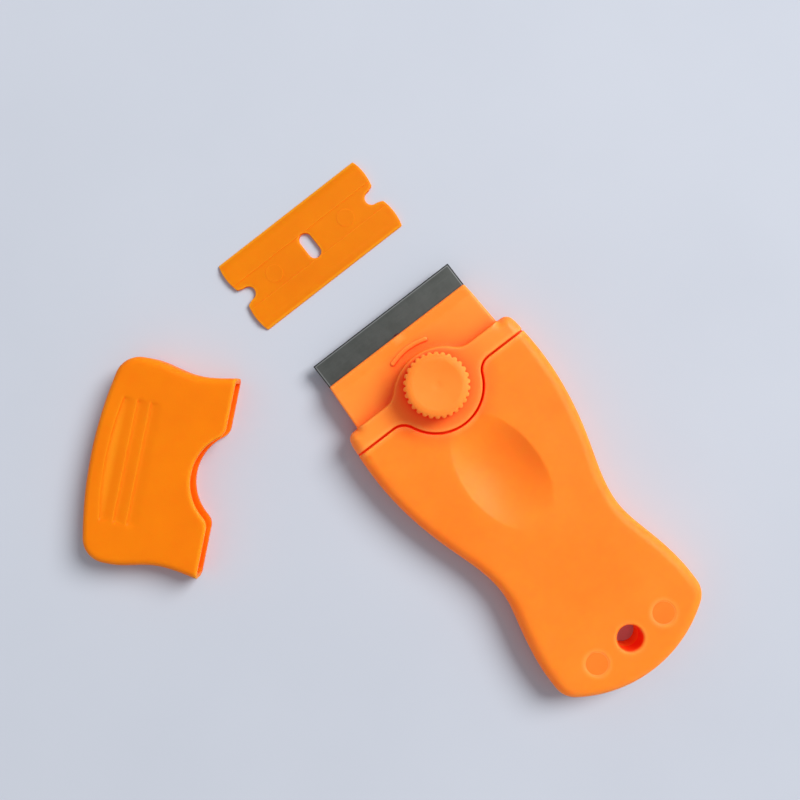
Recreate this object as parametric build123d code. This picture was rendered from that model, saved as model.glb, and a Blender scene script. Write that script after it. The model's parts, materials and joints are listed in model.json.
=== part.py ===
from build123d import *
import math
import os

# Hand-held algae scraper with a screw-down clamp for a double-edged scraper blade,
# shown with its push-on blade cover and a spare plastic blade lying beside it.
#
# Units are millimetres. The origin is the centre of the hanging hole, on the
# underside. +Y runs along the tool towards the cutting edge, +X is to the right
# seen from above and +Z is up, out of the knob.

# ---- heights ---------------------------------------------------------------
SEAM_Z = 4.5            # plane where the two handle shells meet
BODY_TOP = 9.0          # top of the handle and of the clamp's band
JAW_BOTTOM = 2.0        # underside of the lower jaw, raised to clear the cover
SEAT_Z = 3.6            # face of the lower jaw that the blade lies on
TONGUE_TOP = 6.5        # top of the clamp's tongue
KNOB_TOP = 15.5

# ---- plan of the body --------------------------------------------------------
SCREW_Y = 79.0          # clamp screw, measured from the hanging hole
TAIL_Y = -10.6
TAIL_RADIUS = 34.0
TAIL_CORNER = 6.0
WIDEST = (26.3, 70.5)   # half width, place along the tool
FRONT_HALF_WIDTH = 25.5
SHOULDER = (22.5, 45.5)
WAIST = (18.4, 27.0)
TAIL_NECK = (20.3, 17.0)
TAIL_HALF_WIDTH = 22.3
TOP_ROUND = 2.2         # rounding of the body's upper outer edge
BOTTOM_ROUND = 1.6
FRONT_CORNER = 2.3      # rounding of the band's outer corners, seen from above

# ---- clamp, measured from the screw --------------------------------------------
BAND_FRONT = 3.4        # step from the band down to the tongue
BOSS_RADIUS = 12.8      # round front of the boss, centred behind the screw
BOSS_SETBACK = 3.8
BOSS_BLEND = 5.0
GAP = 0.55              # visible gap between clamp and upper shell
GAP_Y = -1.9            # straight stretches of the gap
GAP_RADIUS = 11.6       # round stretch of the gap, about the screw
GAP_BLEND = 4.5
TONGUE_FRONT = 16.0
TONGUE_HALF_FRONT = 21.4
TONGUE_HALF_REAR = 22.0
TONGUE_BEVEL = (3.3, 0.9)   # length and drop of the slope at the tongue's front
RIB_RADIUS = 15.5       # raised arc on the tongue, concentric with the boss
RIB_WIDTH = 1.3
RIB_HEIGHT = 0.5
RIB_SPAN = 40.0         # degrees
GUIDE_PEG = (19.0, 0.3)     # place of the pegs that stop the clamp from turning
GUIDE_PEG_RADIUS = 1.2
GUIDE_CLEARANCE = 0.15
GUIDE_PEG_BOTTOM = 2.1
GUIDE_SOCKET_BOTTOM = 1.9

# ---- blades ------------------------------------------------------------------
STEEL_SIZE = (43.0, 20.0)   # length and width
PLASTIC_SIZE = (44.7, 20.8)
STEEL_THICKNESS = 0.4
STEEL_BEVEL = (0.6, 0.18)    # width and drop of the ground edges
CUTTING_EDGE = 22.7     # from the screw
SLOT = (3.3, 7.2)       # slot in the middle of a blade, along and across it
NOTCH_RADIUS = 1.8
NOTCH_INSET = 2.3       # centre of the round notch from the blade's end
NOTCH_MOUTH = 4.8
PLASTIC_THICKNESS = 1.2
PLASTIC_BEVEL = (2.0, 0.75)  # width and drop of the plastic blade's edges
PLASTIC_STRIP = 3.8     # half width of the shallow groove along the plastic blade
PLASTIC_STRIP_DEPTH = 0.12
PLASTIC_MARK = (11.6, 2.3, 0.08)    # round marks in the groove: place, radius, height
BLADE_PEG_CLEARANCE = 0.25
MIDDLE_PEG_HEIGHT = 1.0     # peg through the blade's slot
MIDDLE_PEG_SHIFT = -0.4     # it sits behind the blade's centre, clear of the nut
MIDDLE_PEG_SHORTER = 1.2    # than the slot
NOTCH_PEG_HEIGHT = 0.35
SEAT_CLEARANCE = (0.15, 0.1)    # beside and behind the blade

# ---- screw and knob (M4) -------------------------------------------------------
STUD_RADIUS = 2.0
STUD_ENDS = (0.7, 13.5)
STUD_CHAMFER = 0.3
STUD_CLEARANCE = 0.3
THREAD_CLEARANCE = 0.05
NUT_FLATS = 7.0
NUT_CLEARANCE = 0.1
NUT_ENDS = (1.2, 3.5)   # thin nut, below the blade
WASHER_RADII = (4.6, 2.1)
WASHER_ENDS = (8.3, 9.1)
KNOB_BOTTOM = 9.1
KNOB_RADIUS = 8.2
KNOB_TEETH = 30
TOOTH_RADIUS = 0.65
KNOB_RIM_RADIUS = 6.9   # outer edge of the knob's flat rim
KNOB_HOLLOW_RADIUS = 6.3
KNOB_ROUND = 2.6        # rounding between the rim and the teeth
KNOB_ROUND_DROP = 2.2
KNOB_DISH = 0.45        # depth of the hollow in the knob's top

# ---- handle details ------------------------------------------------------------
HANG_RADIUS = 3.2
HANG_RIM = 0.5
PIN_RADIUS = 2.8
PIN_SPREAD = 10.4
PIN_ENDS = (1.5, 8.85)
DISH_CENTRE_Y = 52.0    # thumb dish
DISH_HALF = (9.6, 15.6)
DISH_DEPTH = 2.2
DISH_BALL_HALF = 6.0    # half height of the long ball that cuts the dish
CAVITY_Y = (14.0, 58.0)
CAVITY_WALL = 3.0
CAVITY_FLOOR = 1.8
DISH_WALL = 1.6

# ---- blade cover, with its own axes: mouth on its X axis, closed end at +Y -------
COVER_MOUTH_HALF = 25.7
COVER_WAIST = (24.5, 11.5)
COVER_BELLY = (26.3, 22.0)
COVER_LENGTH = 32.1
COVER_END_RADIUS = 106.0
COVER_CORNER = 6.3
COVER_HEIGHT = 8.0
COVER_ROUND = 1.7
COVER_WALL = 1.25
CUTOUT_RADIUS = 12.9
CUTOUT_DEPTH = 6.4
CUTOUT_BLEND = 3.5
GRIP_LENGTH = 32.0      # grip steps across the cover's top
GRIP_PITCH = 3.4
GRIP_DEPTH = 0.5
GRIP_FIRST = 26.4       # steep wall of the last straight step
GRIP_CRESCENT = 1.5
COVER_PLACE = (-57.7, SCREW_Y + 15.0)
COVER_TURN = 40.9       # degrees

SPARE_PLACE = (-3.3, SCREW_Y + 48.2)
SPARE_TURN = 0.35


def mirrored(points):
    """The same points on the other side of the tool's middle plane, in reverse."""
    return [(-x, y) for x, y in reversed(points)]


def body_plan(front_y, inset=0):
    """Plan of the handle: waisted sides, round tail, straight front at front_y."""
    side = [(FRONT_HALF_WIDTH, SCREW_Y + BAND_FRONT), WIDEST, SHOULDER, WAIST, TAIL_NECK,
            (TAIL_HALF_WIDTH, 3.0)]
    side = [(x - inset, y) for x, y in side]
    tail_drop = TAIL_RADIUS - math.sqrt(TAIL_RADIUS ** 2 - side[-1][0] ** 2)
    corner = (side[-1][0], TAIL_Y + tail_drop)
    right = Spline(side, tangents=[(0.1, -1), (0, -1)])
    right_end = Line(side[-1], corner)
    tail = ThreePointArc(corner, (0, TAIL_Y), (-corner[0], corner[1]))
    left_end = Line((-corner[0], corner[1]), (-side[-1][0], side[-1][1]))
    left = Spline(mirrored(side), tangents=[(0, 1), (0.1, 1)])
    front = Polyline(mirrored(side)[-1], (-side[0][0], front_y), (side[0][0], front_y), side[0])
    plan = make_face(Curve() + [right, right_end, tail, left_end, left, front])
    tail_corners = plan.vertices().filter_by(lambda v: v.Y < 0)
    return fillet(tail_corners, TAIL_CORNER)


def boss_front():
    """Everything behind the step from the band down to the tongue."""
    step_y = SCREW_Y + BAND_FRONT
    zone = Pos(0, step_y - 75) * Rectangle(80, 150)
    zone += Pos(0, SCREW_Y - BOSS_SETBACK) * Circle(BOSS_RADIUS)
    inner = zone.vertices().filter_by(lambda v: abs(v.X) < BOSS_RADIUS and v.Y > 0)
    return fillet(inner, BOSS_BLEND)


def clamp_zone(grow):
    """Everything ahead of the gap between clamp and handle, moved back by grow."""
    edge_y = SCREW_Y + GAP_Y - grow
    zone = Pos(0, edge_y + 30) * Rectangle(80, 60)
    zone += Pos(0, SCREW_Y) * Circle(GAP_RADIUS + grow)
    inner = zone.vertices().filter_by(lambda v: abs(v.X) < GAP_RADIUS + grow and v.Y < SCREW_Y)
    return fillet(inner, GAP_BLEND - grow)


def body_block():
    """The closed body with rounded outer edges, cut to the band's front."""
    block = extrude(body_plan(SCREW_Y + 20), BODY_TOP)
    rim = block.edges().filter_by(lambda e: (e @ 0.5).Y < SCREW_Y + 19)
    block = fillet(rim.group_by(Axis.Z)[-1], TOP_ROUND)
    rim = block.edges().filter_by(lambda e: (e @ 0.5).Y < SCREW_Y + 19)
    block = fillet(rim.group_by(Axis.Z)[0], BOTTOM_ROUND)
    block &= extrude(boss_front(), BODY_TOP)
    centre_x = FRONT_HALF_WIDTH - FRONT_CORNER + 0.1
    centre_y = SCREW_Y + BAND_FRONT - FRONT_CORNER
    for side in (-1, 1):
        corner = Pos(side * (centre_x + 5), centre_y + 5) * Rectangle(10, 10)
        corner -= Pos(side * centre_x, centre_y) * Circle(FRONT_CORNER)
        block -= extrude(corner, BODY_TOP)
    return block


def slab(low, high):
    """A wide slice of space between two heights."""
    return Pos(0, 0, (low + high) / 2) * Box(400, 400, high - low)


def jaw_plan(rear_y, front_y):
    """Plan of the tongue and the lower jaw, a little narrower at the front."""
    return make_face(Polyline((-TONGUE_HALF_REAR, SCREW_Y + rear_y),
                              (TONGUE_HALF_REAR, SCREW_Y + rear_y),
                              (TONGUE_HALF_FRONT, SCREW_Y + front_y),
                              (-TONGUE_HALF_FRONT, SCREW_Y + front_y),
                              (-TONGUE_HALF_REAR, SCREW_Y + rear_y)))


def on_screw(radius, low, high):
    """A rod about the screw's axis between two heights."""
    return Pos(0, SCREW_Y, low) * extrude(Circle(radius), high - low)


def blade_plan(length, width):
    """Plan of a double-edged blade: middle slot and a flared notch in each end."""
    plan = Rectangle(length, width) - Rot(0, 0, 90) * SlotOverall(SLOT[1], SLOT[0])
    end = length / 2 + 0.01
    notch = length / 2 - NOTCH_INSET
    for side in (-1, 1):
        plan -= Pos(side * notch, 0) * Circle(NOTCH_RADIUS)
        plan -= make_face(Polyline((side * notch, -NOTCH_RADIUS),
                                   (side * end, -NOTCH_MOUTH / 2),
                                   (side * end, NOTCH_MOUTH / 2),
                                   (side * notch, NOTCH_RADIUS),
                                   (side * notch, -NOTCH_RADIUS)))
    return plan


def edge_wedges(size, width, drop, thickness):
    """What is cut from the top of a blade to leave its two sloping edges."""
    length, half = size[0], size[1] / 2
    wedge = make_face(Polyline((half - width, thickness), (half + 1, thickness),
                               (half + 1, thickness - drop * (width + 1) / width),
                               (half - width, thickness)))
    wedge = Rot(0, 0, 90) * Rot(90, 0, 0) * wedge
    one = Pos(-length, 0, 0) * extrude(wedge, 2 * length, dir=(1, 0, 0))
    return Compound(children=[one, mirror(one, Plane.XZ)])


def handle_cavity(low, high):
    """Hollow inside the grip, the same distance from the outline all round."""
    inner = body_plan(SCREW_Y + 20, CAVITY_WALL)
    middle = (CAVITY_Y[0] + CAVITY_Y[1]) / 2
    inner &= Pos(0, middle) * Rectangle(80, CAVITY_Y[1] - CAVITY_Y[0])
    return Pos(0, 0, low) * extrude(inner, high - low)


def dish_ball(extra):
    """Long ball that hollows the thumb dish out of the handle's top."""
    # The ball is sunk so that it cuts DISH_DEPTH deep with an opening of DISH_HALF
    # in the top face.
    sink = DISH_BALL_HALF - DISH_DEPTH
    spread = math.sqrt(1 - (sink / DISH_BALL_HALF) ** 2)
    ball = scale(Sphere(1), by=(DISH_HALF[0] / spread + extra, DISH_HALF[1] / spread + extra,
                                DISH_BALL_HALF + extra))
    return Pos(0, DISH_CENTRE_Y, BODY_TOP + sink) * ball


def handle_lower_shell():
    """Lower half of the handle with the lower jaw, the blade's pegs and the nut pocket."""
    shell = body_block() & slab(0, SEAM_Z)
    shell -= handle_cavity(CAVITY_FLOOR, SEAM_Z)
    # the lower jaw, and the seat that the blade lies on
    shell += Pos(0, 0, JAW_BOTTOM) * extrude(jaw_plan(0, TONGUE_FRONT), SEAT_Z - JAW_BOTTOM)
    length, width = STEEL_SIZE
    beside, behind = SEAT_CLEARANCE
    blade_centre = SCREW_Y + CUTTING_EDGE - width / 2
    seat = Rectangle(length + 2 * beside, width)
    shell -= Pos(0, blade_centre - behind, SEAT_Z) * extrude(seat, SEAM_Z)
    middle_peg = SlotOverall(SLOT[1] - MIDDLE_PEG_SHORTER, SLOT[0] - 2 * BLADE_PEG_CLEARANCE)
    middle_peg = extrude(Rot(0, 0, 90) * middle_peg, MIDDLE_PEG_HEIGHT)
    shell += Pos(0, blade_centre + MIDDLE_PEG_SHIFT, SEAT_Z) * middle_peg
    for side in (-1, 1):
        peg = extrude(Circle(NOTCH_RADIUS - BLADE_PEG_CLEARANCE), NOTCH_PEG_HEIGHT)
        shell += Pos(side * (length / 2 - NOTCH_INSET), blade_centre, SEAT_Z) * peg
        socket = extrude(Circle(GUIDE_PEG_RADIUS + GUIDE_CLEARANCE), SEAM_Z)
        shell -= Pos(side * GUIDE_PEG[0], SCREW_Y + GUIDE_PEG[1], GUIDE_SOCKET_BOTTOM) * socket
        shell -= Pos(side * PIN_SPREAD, 0, PIN_ENDS[0]) * extrude(Circle(PIN_RADIUS), SEAM_Z)
    pocket = RegularPolygon((NUT_FLATS + NUT_CLEARANCE) / 2, 6, major_radius=False)
    shell -= Pos(0, SCREW_Y, NUT_ENDS[0]) * extrude(pocket, SEAM_Z)
    shell -= on_screw(STUD_RADIUS + STUD_CLEARANCE, STUD_ENDS[0] - STUD_CLEARANCE, SEAM_Z)
    shell -= Pos(0, 0, -1) * extrude(Circle(HANG_RADIUS), 20)
    return shell


def handle_upper_shell():
    """Upper half of the handle with the thumb dish, ending at the gap behind the clamp."""
    shell = body_block() & slab(SEAM_Z, BODY_TOP)
    shell -= extrude(clamp_zone(GAP), 20)
    shell -= dish_ball(0)
    hollow = handle_cavity(SEAM_Z, BODY_TOP - CAVITY_FLOOR) - dish_ball(DISH_WALL)
    shell -= hollow
    for side in (-1, 1):
        shell -= Pos(side * PIN_SPREAD, 0, 0) * extrude(Circle(PIN_RADIUS), 20)
    shell -= Pos(0, 0, -1) * extrude(Circle(HANG_RADIUS), 20)
    rim = shell.edges().filter_by(GeomType.CIRCLE).filter_by(
        lambda e: abs(e.radius - HANG_RADIUS) < 0.01 and (e @ 0).Z > BODY_TOP - 0.1)
    return fillet(rim, HANG_RIM)


def clamp_plate():
    """Screwed-down clamp: band and round boss behind, thin tongue over the blade."""
    plate = body_block() & slab(SEAM_Z, BODY_TOP)
    plate &= extrude(clamp_zone(0), 20)
    blade_top = SEAT_Z + STEEL_THICKNESS
    length, width = STEEL_SIZE
    rear = CUTTING_EDGE - width + 0.05
    tongue = Pos(0, 0, blade_top) * extrude(jaw_plan(rear, TONGUE_FRONT), TONGUE_TOP - blade_top)
    # the tongue's underside clears the lower shell's walls beside the blade
    beside = Box(FRONT_HALF_WIDTH - length / 2, 2 * (BAND_FRONT + GUIDE_CLEARANCE - rear),
                 2 * (SEAM_Z - blade_top), align=(Align.MIN, Align.CENTER, Align.CENTER))
    for turn in (0, 180):
        tongue -= Pos(0, SCREW_Y + rear, blade_top) * Rot(0, 0, turn) * Pos(length / 2, 0, 0) * beside
    slope_length, drop = TONGUE_BEVEL
    front = SCREW_Y + TONGUE_FRONT
    slope = make_face(Polyline((front - slope_length, TONGUE_TOP), (front + 1, TONGUE_TOP),
                               (front + 1, TONGUE_TOP - drop * (slope_length + 1) / slope_length),
                               (front - slope_length, TONGUE_TOP)))
    slope = Rot(0, 0, 90) * Rot(90, 0, 0) * slope
    tongue -= Pos(-40, 0, 0) * extrude(slope, 80, dir=(1, 0, 0))
    plate += tongue
    rib_arc = CenterArc((0, SCREW_Y - BOSS_SETBACK), RIB_RADIUS, 90 - RIB_SPAN / 2, RIB_SPAN)
    plate += Pos(0, 0, TONGUE_TOP - 0.2) * extrude(SlotArc(rib_arc, RIB_WIDTH), RIB_HEIGHT + 0.2)
    # pocket over the blade's middle peg, screw hole, washer recess and guide pegs
    blade_centre = SCREW_Y + CUTTING_EDGE - width / 2
    pocket = Rot(0, 0, 90) * SlotOverall(SLOT[1] - MIDDLE_PEG_SHORTER / 2, SLOT[0])
    pocket_top = SEAT_Z + MIDDLE_PEG_HEIGHT + STUD_CLEARANCE
    plate -= Pos(0, blade_centre + MIDDLE_PEG_SHIFT, 0) * extrude(pocket, pocket_top)
    plate -= on_screw(STUD_RADIUS + STUD_CLEARANCE, 0, KNOB_TOP)
    plate -= on_screw(WASHER_RADII[0] + STUD_CLEARANCE, WASHER_ENDS[0], KNOB_TOP)
    for side in (-1, 1):
        peg = extrude(Circle(GUIDE_PEG_RADIUS), TONGUE_TOP - 1 - GUIDE_PEG_BOTTOM)
        plate += Pos(side * GUIDE_PEG[0], SCREW_Y + GUIDE_PEG[1], GUIDE_PEG_BOTTOM) * peg
    return plate


def clamp_knob():
    """Round knob with small rounded teeth, a soft upper edge and a hollowed top."""
    root = KNOB_RADIUS - TOOTH_RADIUS
    turns = [Rot(0, 0, 360 * (tooth + 0.5) / KNOB_TEETH) for tooth in range(KNOB_TEETH)]
    plan = Circle(root) + [turn * Pos(root, 0) * Circle(TOOTH_RADIUS) for turn in turns]
    height = KNOB_TOP - KNOB_BOTTOM
    toothed = extrude(plan, height)
    outside = KNOB_RADIUS + 0.4
    shoulder = height - KNOB_ROUND_DROP
    rim = KNOB_RIM_RADIUS
    outline = Line((0, 0), (outside, 0))
    outline += Line((outside, 0), (outside, shoulder))
    outline += RadiusArc((outside, shoulder), (rim, height), -KNOB_ROUND)
    outline += Polyline((rim, height), (0, height), (0, 0))
    body = revolve(Plane.XZ * make_face(outline), Axis.Z)
    # the hollow in the top is part of a large ball, a little inside the rim
    ball = (KNOB_HOLLOW_RADIUS ** 2 + KNOB_DISH ** 2) / (2 * KNOB_DISH)
    body -= Pos(0, 0, height - KNOB_DISH + ball) * Sphere(ball)
    knob = Pos(0, SCREW_Y, KNOB_BOTTOM) * (toothed & body)
    return knob - on_screw(STUD_RADIUS, KNOB_BOTTOM - 1, STUD_ENDS[1])


def knob_stud():
    """Screw fixed in the knob, with chamfered ends."""
    stud = on_screw(STUD_RADIUS, *STUD_ENDS)
    return chamfer(stud.edges().filter_by(GeomType.CIRCLE), STUD_CHAMFER)


def knob_washer():
    """Flat washer between the knob and the clamp."""
    outer, inner = WASHER_RADII
    return on_screw(outer, *WASHER_ENDS) - on_screw(inner, *WASHER_ENDS)


def captive_nut():
    """Hexagon nut held in the lower shell."""
    nut = Pos(0, SCREW_Y, NUT_ENDS[0]) * extrude(
        RegularPolygon(NUT_FLATS / 2, 6, major_radius=False), NUT_ENDS[1] - NUT_ENDS[0])
    return nut - on_screw(STUD_RADIUS + THREAD_CLEARANCE, 0, SEAM_Z)


def joining_pin(side):
    """Pin through both shells beside the hanging hole, just below the top face."""
    pin = extrude(Circle(PIN_RADIUS), PIN_ENDS[1] - PIN_ENDS[0])
    return Pos(side * PIN_SPREAD, 0, PIN_ENDS[0]) * pin


def steel_blade():
    """Double-edged steel blade on its seat, both long edges ground."""
    blade = extrude(blade_plan(*STEEL_SIZE), STEEL_THICKNESS)
    wedges = edge_wedges(STEEL_SIZE, *STEEL_BEVEL, STEEL_THICKNESS)
    blade -= wedges
    blade -= Pos(0, 0, STEEL_THICKNESS) * mirror(wedges, Plane.XY)
    return Pos(0, SCREW_Y + CUTTING_EDGE - STEEL_SIZE[1] / 2, SEAT_Z) * blade


def spare_plastic_blade():
    """Spare moulded blade lying flat beside the scraper."""
    length = PLASTIC_SIZE[0]
    blade = extrude(blade_plan(*PLASTIC_SIZE), PLASTIC_THICKNESS)
    blade -= edge_wedges(PLASTIC_SIZE, *PLASTIC_BEVEL, PLASTIC_THICKNESS)
    groove_floor = PLASTIC_THICKNESS - PLASTIC_STRIP_DEPTH
    groove = extrude(Rectangle(2 * length, 2 * PLASTIC_STRIP), PLASTIC_THICKNESS)
    blade -= Pos(0, 0, groove_floor) * groove
    place, radius, height = PLASTIC_MARK
    for side in (-1, 1):
        blade += Pos(side * place, 0, groove_floor / 2) * extrude(Circle(radius), groove_floor / 2 + height)
    return Pos(*SPARE_PLACE) * Rot(0, 0, SPARE_TURN) * blade


def cover_plan(wall):
    """Plan of the cover, drawn in by the wall's thickness; no cut-out."""
    side = [(COVER_MOUTH_HALF - wall, 0), (COVER_WAIST[0] - wall, COVER_WAIST[1]),
            (COVER_BELLY[0] - wall, COVER_BELLY[1])]
    end_y = COVER_LENGTH - wall
    half = COVER_BELLY[0] - wall
    end_drop = COVER_END_RADIUS - math.sqrt(COVER_END_RADIUS ** 2 - half ** 2)
    corner = (half, end_y - end_drop)
    right = Spline(side, tangents=[(-0.2, 1), (0, 1)])
    right_end = Line(side[-1], corner)
    end = ThreePointArc(corner, (0, end_y), (-corner[0], corner[1]))
    left_end = Line((-corner[0], corner[1]), (-side[-1][0], side[-1][1]))
    left = Spline(mirrored(side), tangents=[(0, -1), (-0.2, -1)])
    mouth = Line(mirrored(side)[-1], side[0])
    plan = make_face(Curve() + [right, right_end, end, left_end, left, mouth])
    corners = plan.vertices().filter_by(lambda v: v.Y > COVER_BELLY[1] + 1)
    return fillet(corners, COVER_CORNER - wall)


def cover_cutout():
    """Round bite in the cover's mouth that clears the clamp's boss."""
    bite = Pos(0, -20) * Rectangle(80, 40)
    bite += Pos(0, CUTOUT_DEPTH - CUTOUT_RADIUS) * Circle(CUTOUT_RADIUS)
    inner = bite.vertices().filter_by(lambda v: abs(v.X) < CUTOUT_RADIUS and v.Y > -1)
    return Pos(0, 0, -1) * extrude(fillet(inner, CUTOUT_BLEND), COVER_HEIGHT + 2)


def blade_cover():
    """Push-on cover, open at the mouth, with stepped grip grooves on its top."""
    outer = extrude(cover_plan(0), COVER_HEIGHT)
    rims = outer.edges().filter_by(lambda e: (e @ 0.5).Y > 0.1)
    outer = fillet(rims.group_by(Axis.Z)[-1], COVER_ROUND)
    rims = outer.edges().filter_by(lambda e: (e @ 0.5).Y > 0.1)
    outer = fillet(rims.group_by(Axis.Z)[0], COVER_ROUND)
    inner = Pos(0, 0, COVER_WALL) * extrude(cover_plan(COVER_WALL), COVER_HEIGHT - 2 * COVER_WALL)
    inner += Pos(0, -0.5, COVER_HEIGHT / 2) * Box(2 * (COVER_MOUTH_HALF - COVER_WALL), 1.02,
                                                  COVER_HEIGHT - 2 * COVER_WALL)
    cover = outer - inner - cover_cutout()
    for step in range(3):
        steep = GRIP_FIRST - GRIP_PITCH * step
        ramp = make_face(Polyline((steep, COVER_HEIGHT + 0.01), (steep, COVER_HEIGHT - GRIP_DEPTH),
                                  (steep - GRIP_PITCH * 0.9, COVER_HEIGHT + 0.01),
                                  (steep, COVER_HEIGHT + 0.01)))
        ramp = Rot(0, 0, 90) * Rot(90, 0, 0) * ramp
        cover -= Pos(-GRIP_LENGTH / 2, 0, 0) * extrude(ramp, GRIP_LENGTH, dir=(1, 0, 0))
    crescent = make_face(Line((-GRIP_LENGTH / 2, GRIP_FIRST), (GRIP_LENGTH / 2, GRIP_FIRST))
                         + ThreePointArc((GRIP_LENGTH / 2, GRIP_FIRST),
                                         (0, GRIP_FIRST + GRIP_CRESCENT),
                                         (-GRIP_LENGTH / 2, GRIP_FIRST)))
    cover -= Pos(0, 0, COVER_HEIGHT - GRIP_DEPTH) * extrude(crescent, 2)
    return Pos(*COVER_PLACE) * Rot(0, 0, COVER_TURN) * cover


PIECES = {
    "handle_lower_shell": handle_lower_shell(),
    "handle_upper_shell": handle_upper_shell(),
    "joining_pin_left": joining_pin(-1),
    "joining_pin_right": joining_pin(1),
    "captive_nut": captive_nut(),
    "clamp_plate": clamp_plate(),
    "clamp_knob": clamp_knob(),
    "knob_stud": knob_stud(),
    "knob_washer": knob_washer(),
    "steel_blade": steel_blade(),
    "blade_cover": blade_cover(),
    "spare_plastic_blade": spare_plastic_blade(),
}

os.makedirs("parts", exist_ok=True)
for name, piece in PIECES.items():
    export_step(piece, f"parts/{name}.step")
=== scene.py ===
import json
import math

import bpy
import numpy as np
from mathutils.geometry import delaunay_2d_cdt
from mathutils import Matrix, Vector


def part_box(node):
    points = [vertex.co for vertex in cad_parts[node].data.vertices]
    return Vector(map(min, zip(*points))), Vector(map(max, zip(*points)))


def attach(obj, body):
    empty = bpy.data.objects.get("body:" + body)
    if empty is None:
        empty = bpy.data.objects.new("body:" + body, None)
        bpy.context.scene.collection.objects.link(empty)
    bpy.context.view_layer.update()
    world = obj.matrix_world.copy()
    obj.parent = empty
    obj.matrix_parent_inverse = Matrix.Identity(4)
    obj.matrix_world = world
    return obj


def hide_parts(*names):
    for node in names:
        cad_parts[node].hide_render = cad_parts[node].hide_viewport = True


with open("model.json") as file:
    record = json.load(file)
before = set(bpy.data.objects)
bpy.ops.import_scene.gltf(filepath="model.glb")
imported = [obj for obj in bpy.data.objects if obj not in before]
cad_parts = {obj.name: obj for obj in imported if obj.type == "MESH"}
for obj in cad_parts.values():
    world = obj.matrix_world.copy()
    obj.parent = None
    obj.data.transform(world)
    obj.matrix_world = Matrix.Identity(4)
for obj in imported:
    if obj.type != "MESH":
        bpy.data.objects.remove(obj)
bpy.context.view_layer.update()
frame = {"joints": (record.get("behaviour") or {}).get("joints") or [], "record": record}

# An algae scraper with a screw-down blade clamp, its blade cover and a spare plastic blade.
# Shapes are worked out in millimetres in the model's own frame: the origin is the hanging
# hole on the underside, +Y points to the cutting edge and +Z up. Meshes are made in metres.
MM = 0.001


# ---- places read from the frame ----

def box_mm(node):
    """Lowest and highest corner of a model part, in millimetres."""
    low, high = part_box(node)
    return np.array(low) / MM, np.array(high) / MM


shell_low, shell_high = box_mm("handle_upper_shell")
knob_low, knob_high = box_mm("clamp_knob")
steel_low, steel_high = box_mm("steel_blade")
cover_low, cover_high = box_mm("blade_cover")
spare_low, spare_high = box_mm("spare_plastic_blade")
pin_low, pin_high = box_mm("joining_pin_right")
stud_low, stud_high = box_mm("knob_stud")
washer_low, washer_high = box_mm("knob_washer")
nut_low, nut_high = box_mm("captive_nut")

SCREW_Y = next(j for j in frame["joints"] if j["name"] == "knob_turn")["pos_m"][1] / MM
HANG_RADIUS = next(m for m in frame["record"]["mounts"] if m["name"] == "hang_hole")["dims"]["r_mm"]
TAIL_Y = shell_low[1]
SEAM_Z = shell_low[2]
BODY_TOP = shell_high[2]
SEAT_Z = steel_low[2]
BLADE_TOP = steel_high[2]
TONGUE_FRONT = box_mm("clamp_plate")[1][1]
PIN_RADIUS = (pin_high[0] - pin_low[0]) / 2
PIN_X = (pin_high[0] + pin_low[0]) / 2
PIN_TOP = pin_high[2]

# plan of the handle
HANDLE_SIDE = [(25.5, SCREW_Y + 3.4), (26.3, 70.5), (22.5, 45.5), (18.4, 27.0), (20.3, 17.0), (22.3, 3.0)]
TAIL_RADIUS = 34.0
TAIL_CORNER = 6.0
TOP_ROUND = 3.0
BOTTOM_ROUND = 1.6
SEAM_ROUND = 0.15

# clamp
BAND_FRONT = SCREW_Y + 3.4
BAND_CORNER = 2.3
BOSS = dict(radius=12.8, blend=5.0)
BOSS_CENTRE = SCREW_Y - 3.8
RIB_CENTRE = (0, BOSS_CENTRE)
GAP_Y = SCREW_Y - 1.9
GAP_RADIUS = 11.6
GAP_BLEND = 4.5
GAP = 0.45
GAP_ROUND = 0.3
STEP_ROUND = 0.55
STEP_FOOT = 0.45
TONGUE_TOP = 6.5
TONGUE_UNDER_HALF = 21.5
TONGUE_REAR_HALF = 22.0
TONGUE_FRONT_HALF = 21.4
TONGUE_ROUND = 0.7
TONGUE_ROUND_DROP = 0.7         # how much of that rounding's height it has
TONGUE_SLOPE = (3.3, 0.8)       # length and drop of its front slope
RIB = dict(radius=15.5, width=1.3, height=0.45, span=38.0)
JAW_BOTTOM = 2.0
BLADE_CENTRE = (steel_low[1] + steel_high[1]) / 2
GUIDE_PEG = dict(x=19.0, y=SCREW_Y + 0.3, radius=1.2, low=2.1)
GUIDE_SOCKET = dict(radius=GUIDE_PEG["radius"] + 0.15, low=1.9)
NOTCH_PEG = dict(radius=1.55, height=0.35)
MIDDLE_PEG = dict(y=BLADE_CENTRE - 0.4, radius=1.4, reach=1.6, height=1.0)
MIDDLE_POCKET = dict(reach=1.65, height=1.3)
SEAT_ROOM = (0.15, 0.1)         # beside and behind the blade
INNER_CORNER = 0.35             # between the band and the tongue's side
NOSE_CORNER = 0.5               # the tongue's front corners
JAW_STEP_ROUND = 0.4
NUT_POCKET = (nut_high[1] - nut_low[1] + 0.1) / math.sqrt(3)
SCREW_HOLE = 2.3
STUD_ROOM = 0.3                 # under the stud's end
RECESS_RADIUS = 4.9
RECESS_FLOOR = washer_low[2]

# thumb dish
DISH_Y = SCREW_Y - 26.9
DISH_HALF = (9.9, 16.6)
DISH_DEPTH = 2.9
DISH_TILT = 0.25                # how much deeper its front is
DISH_RUNOUT = 0.75              # how softly its ends run out
DISH_RIM_SOFTNESS = 0.0012

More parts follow.
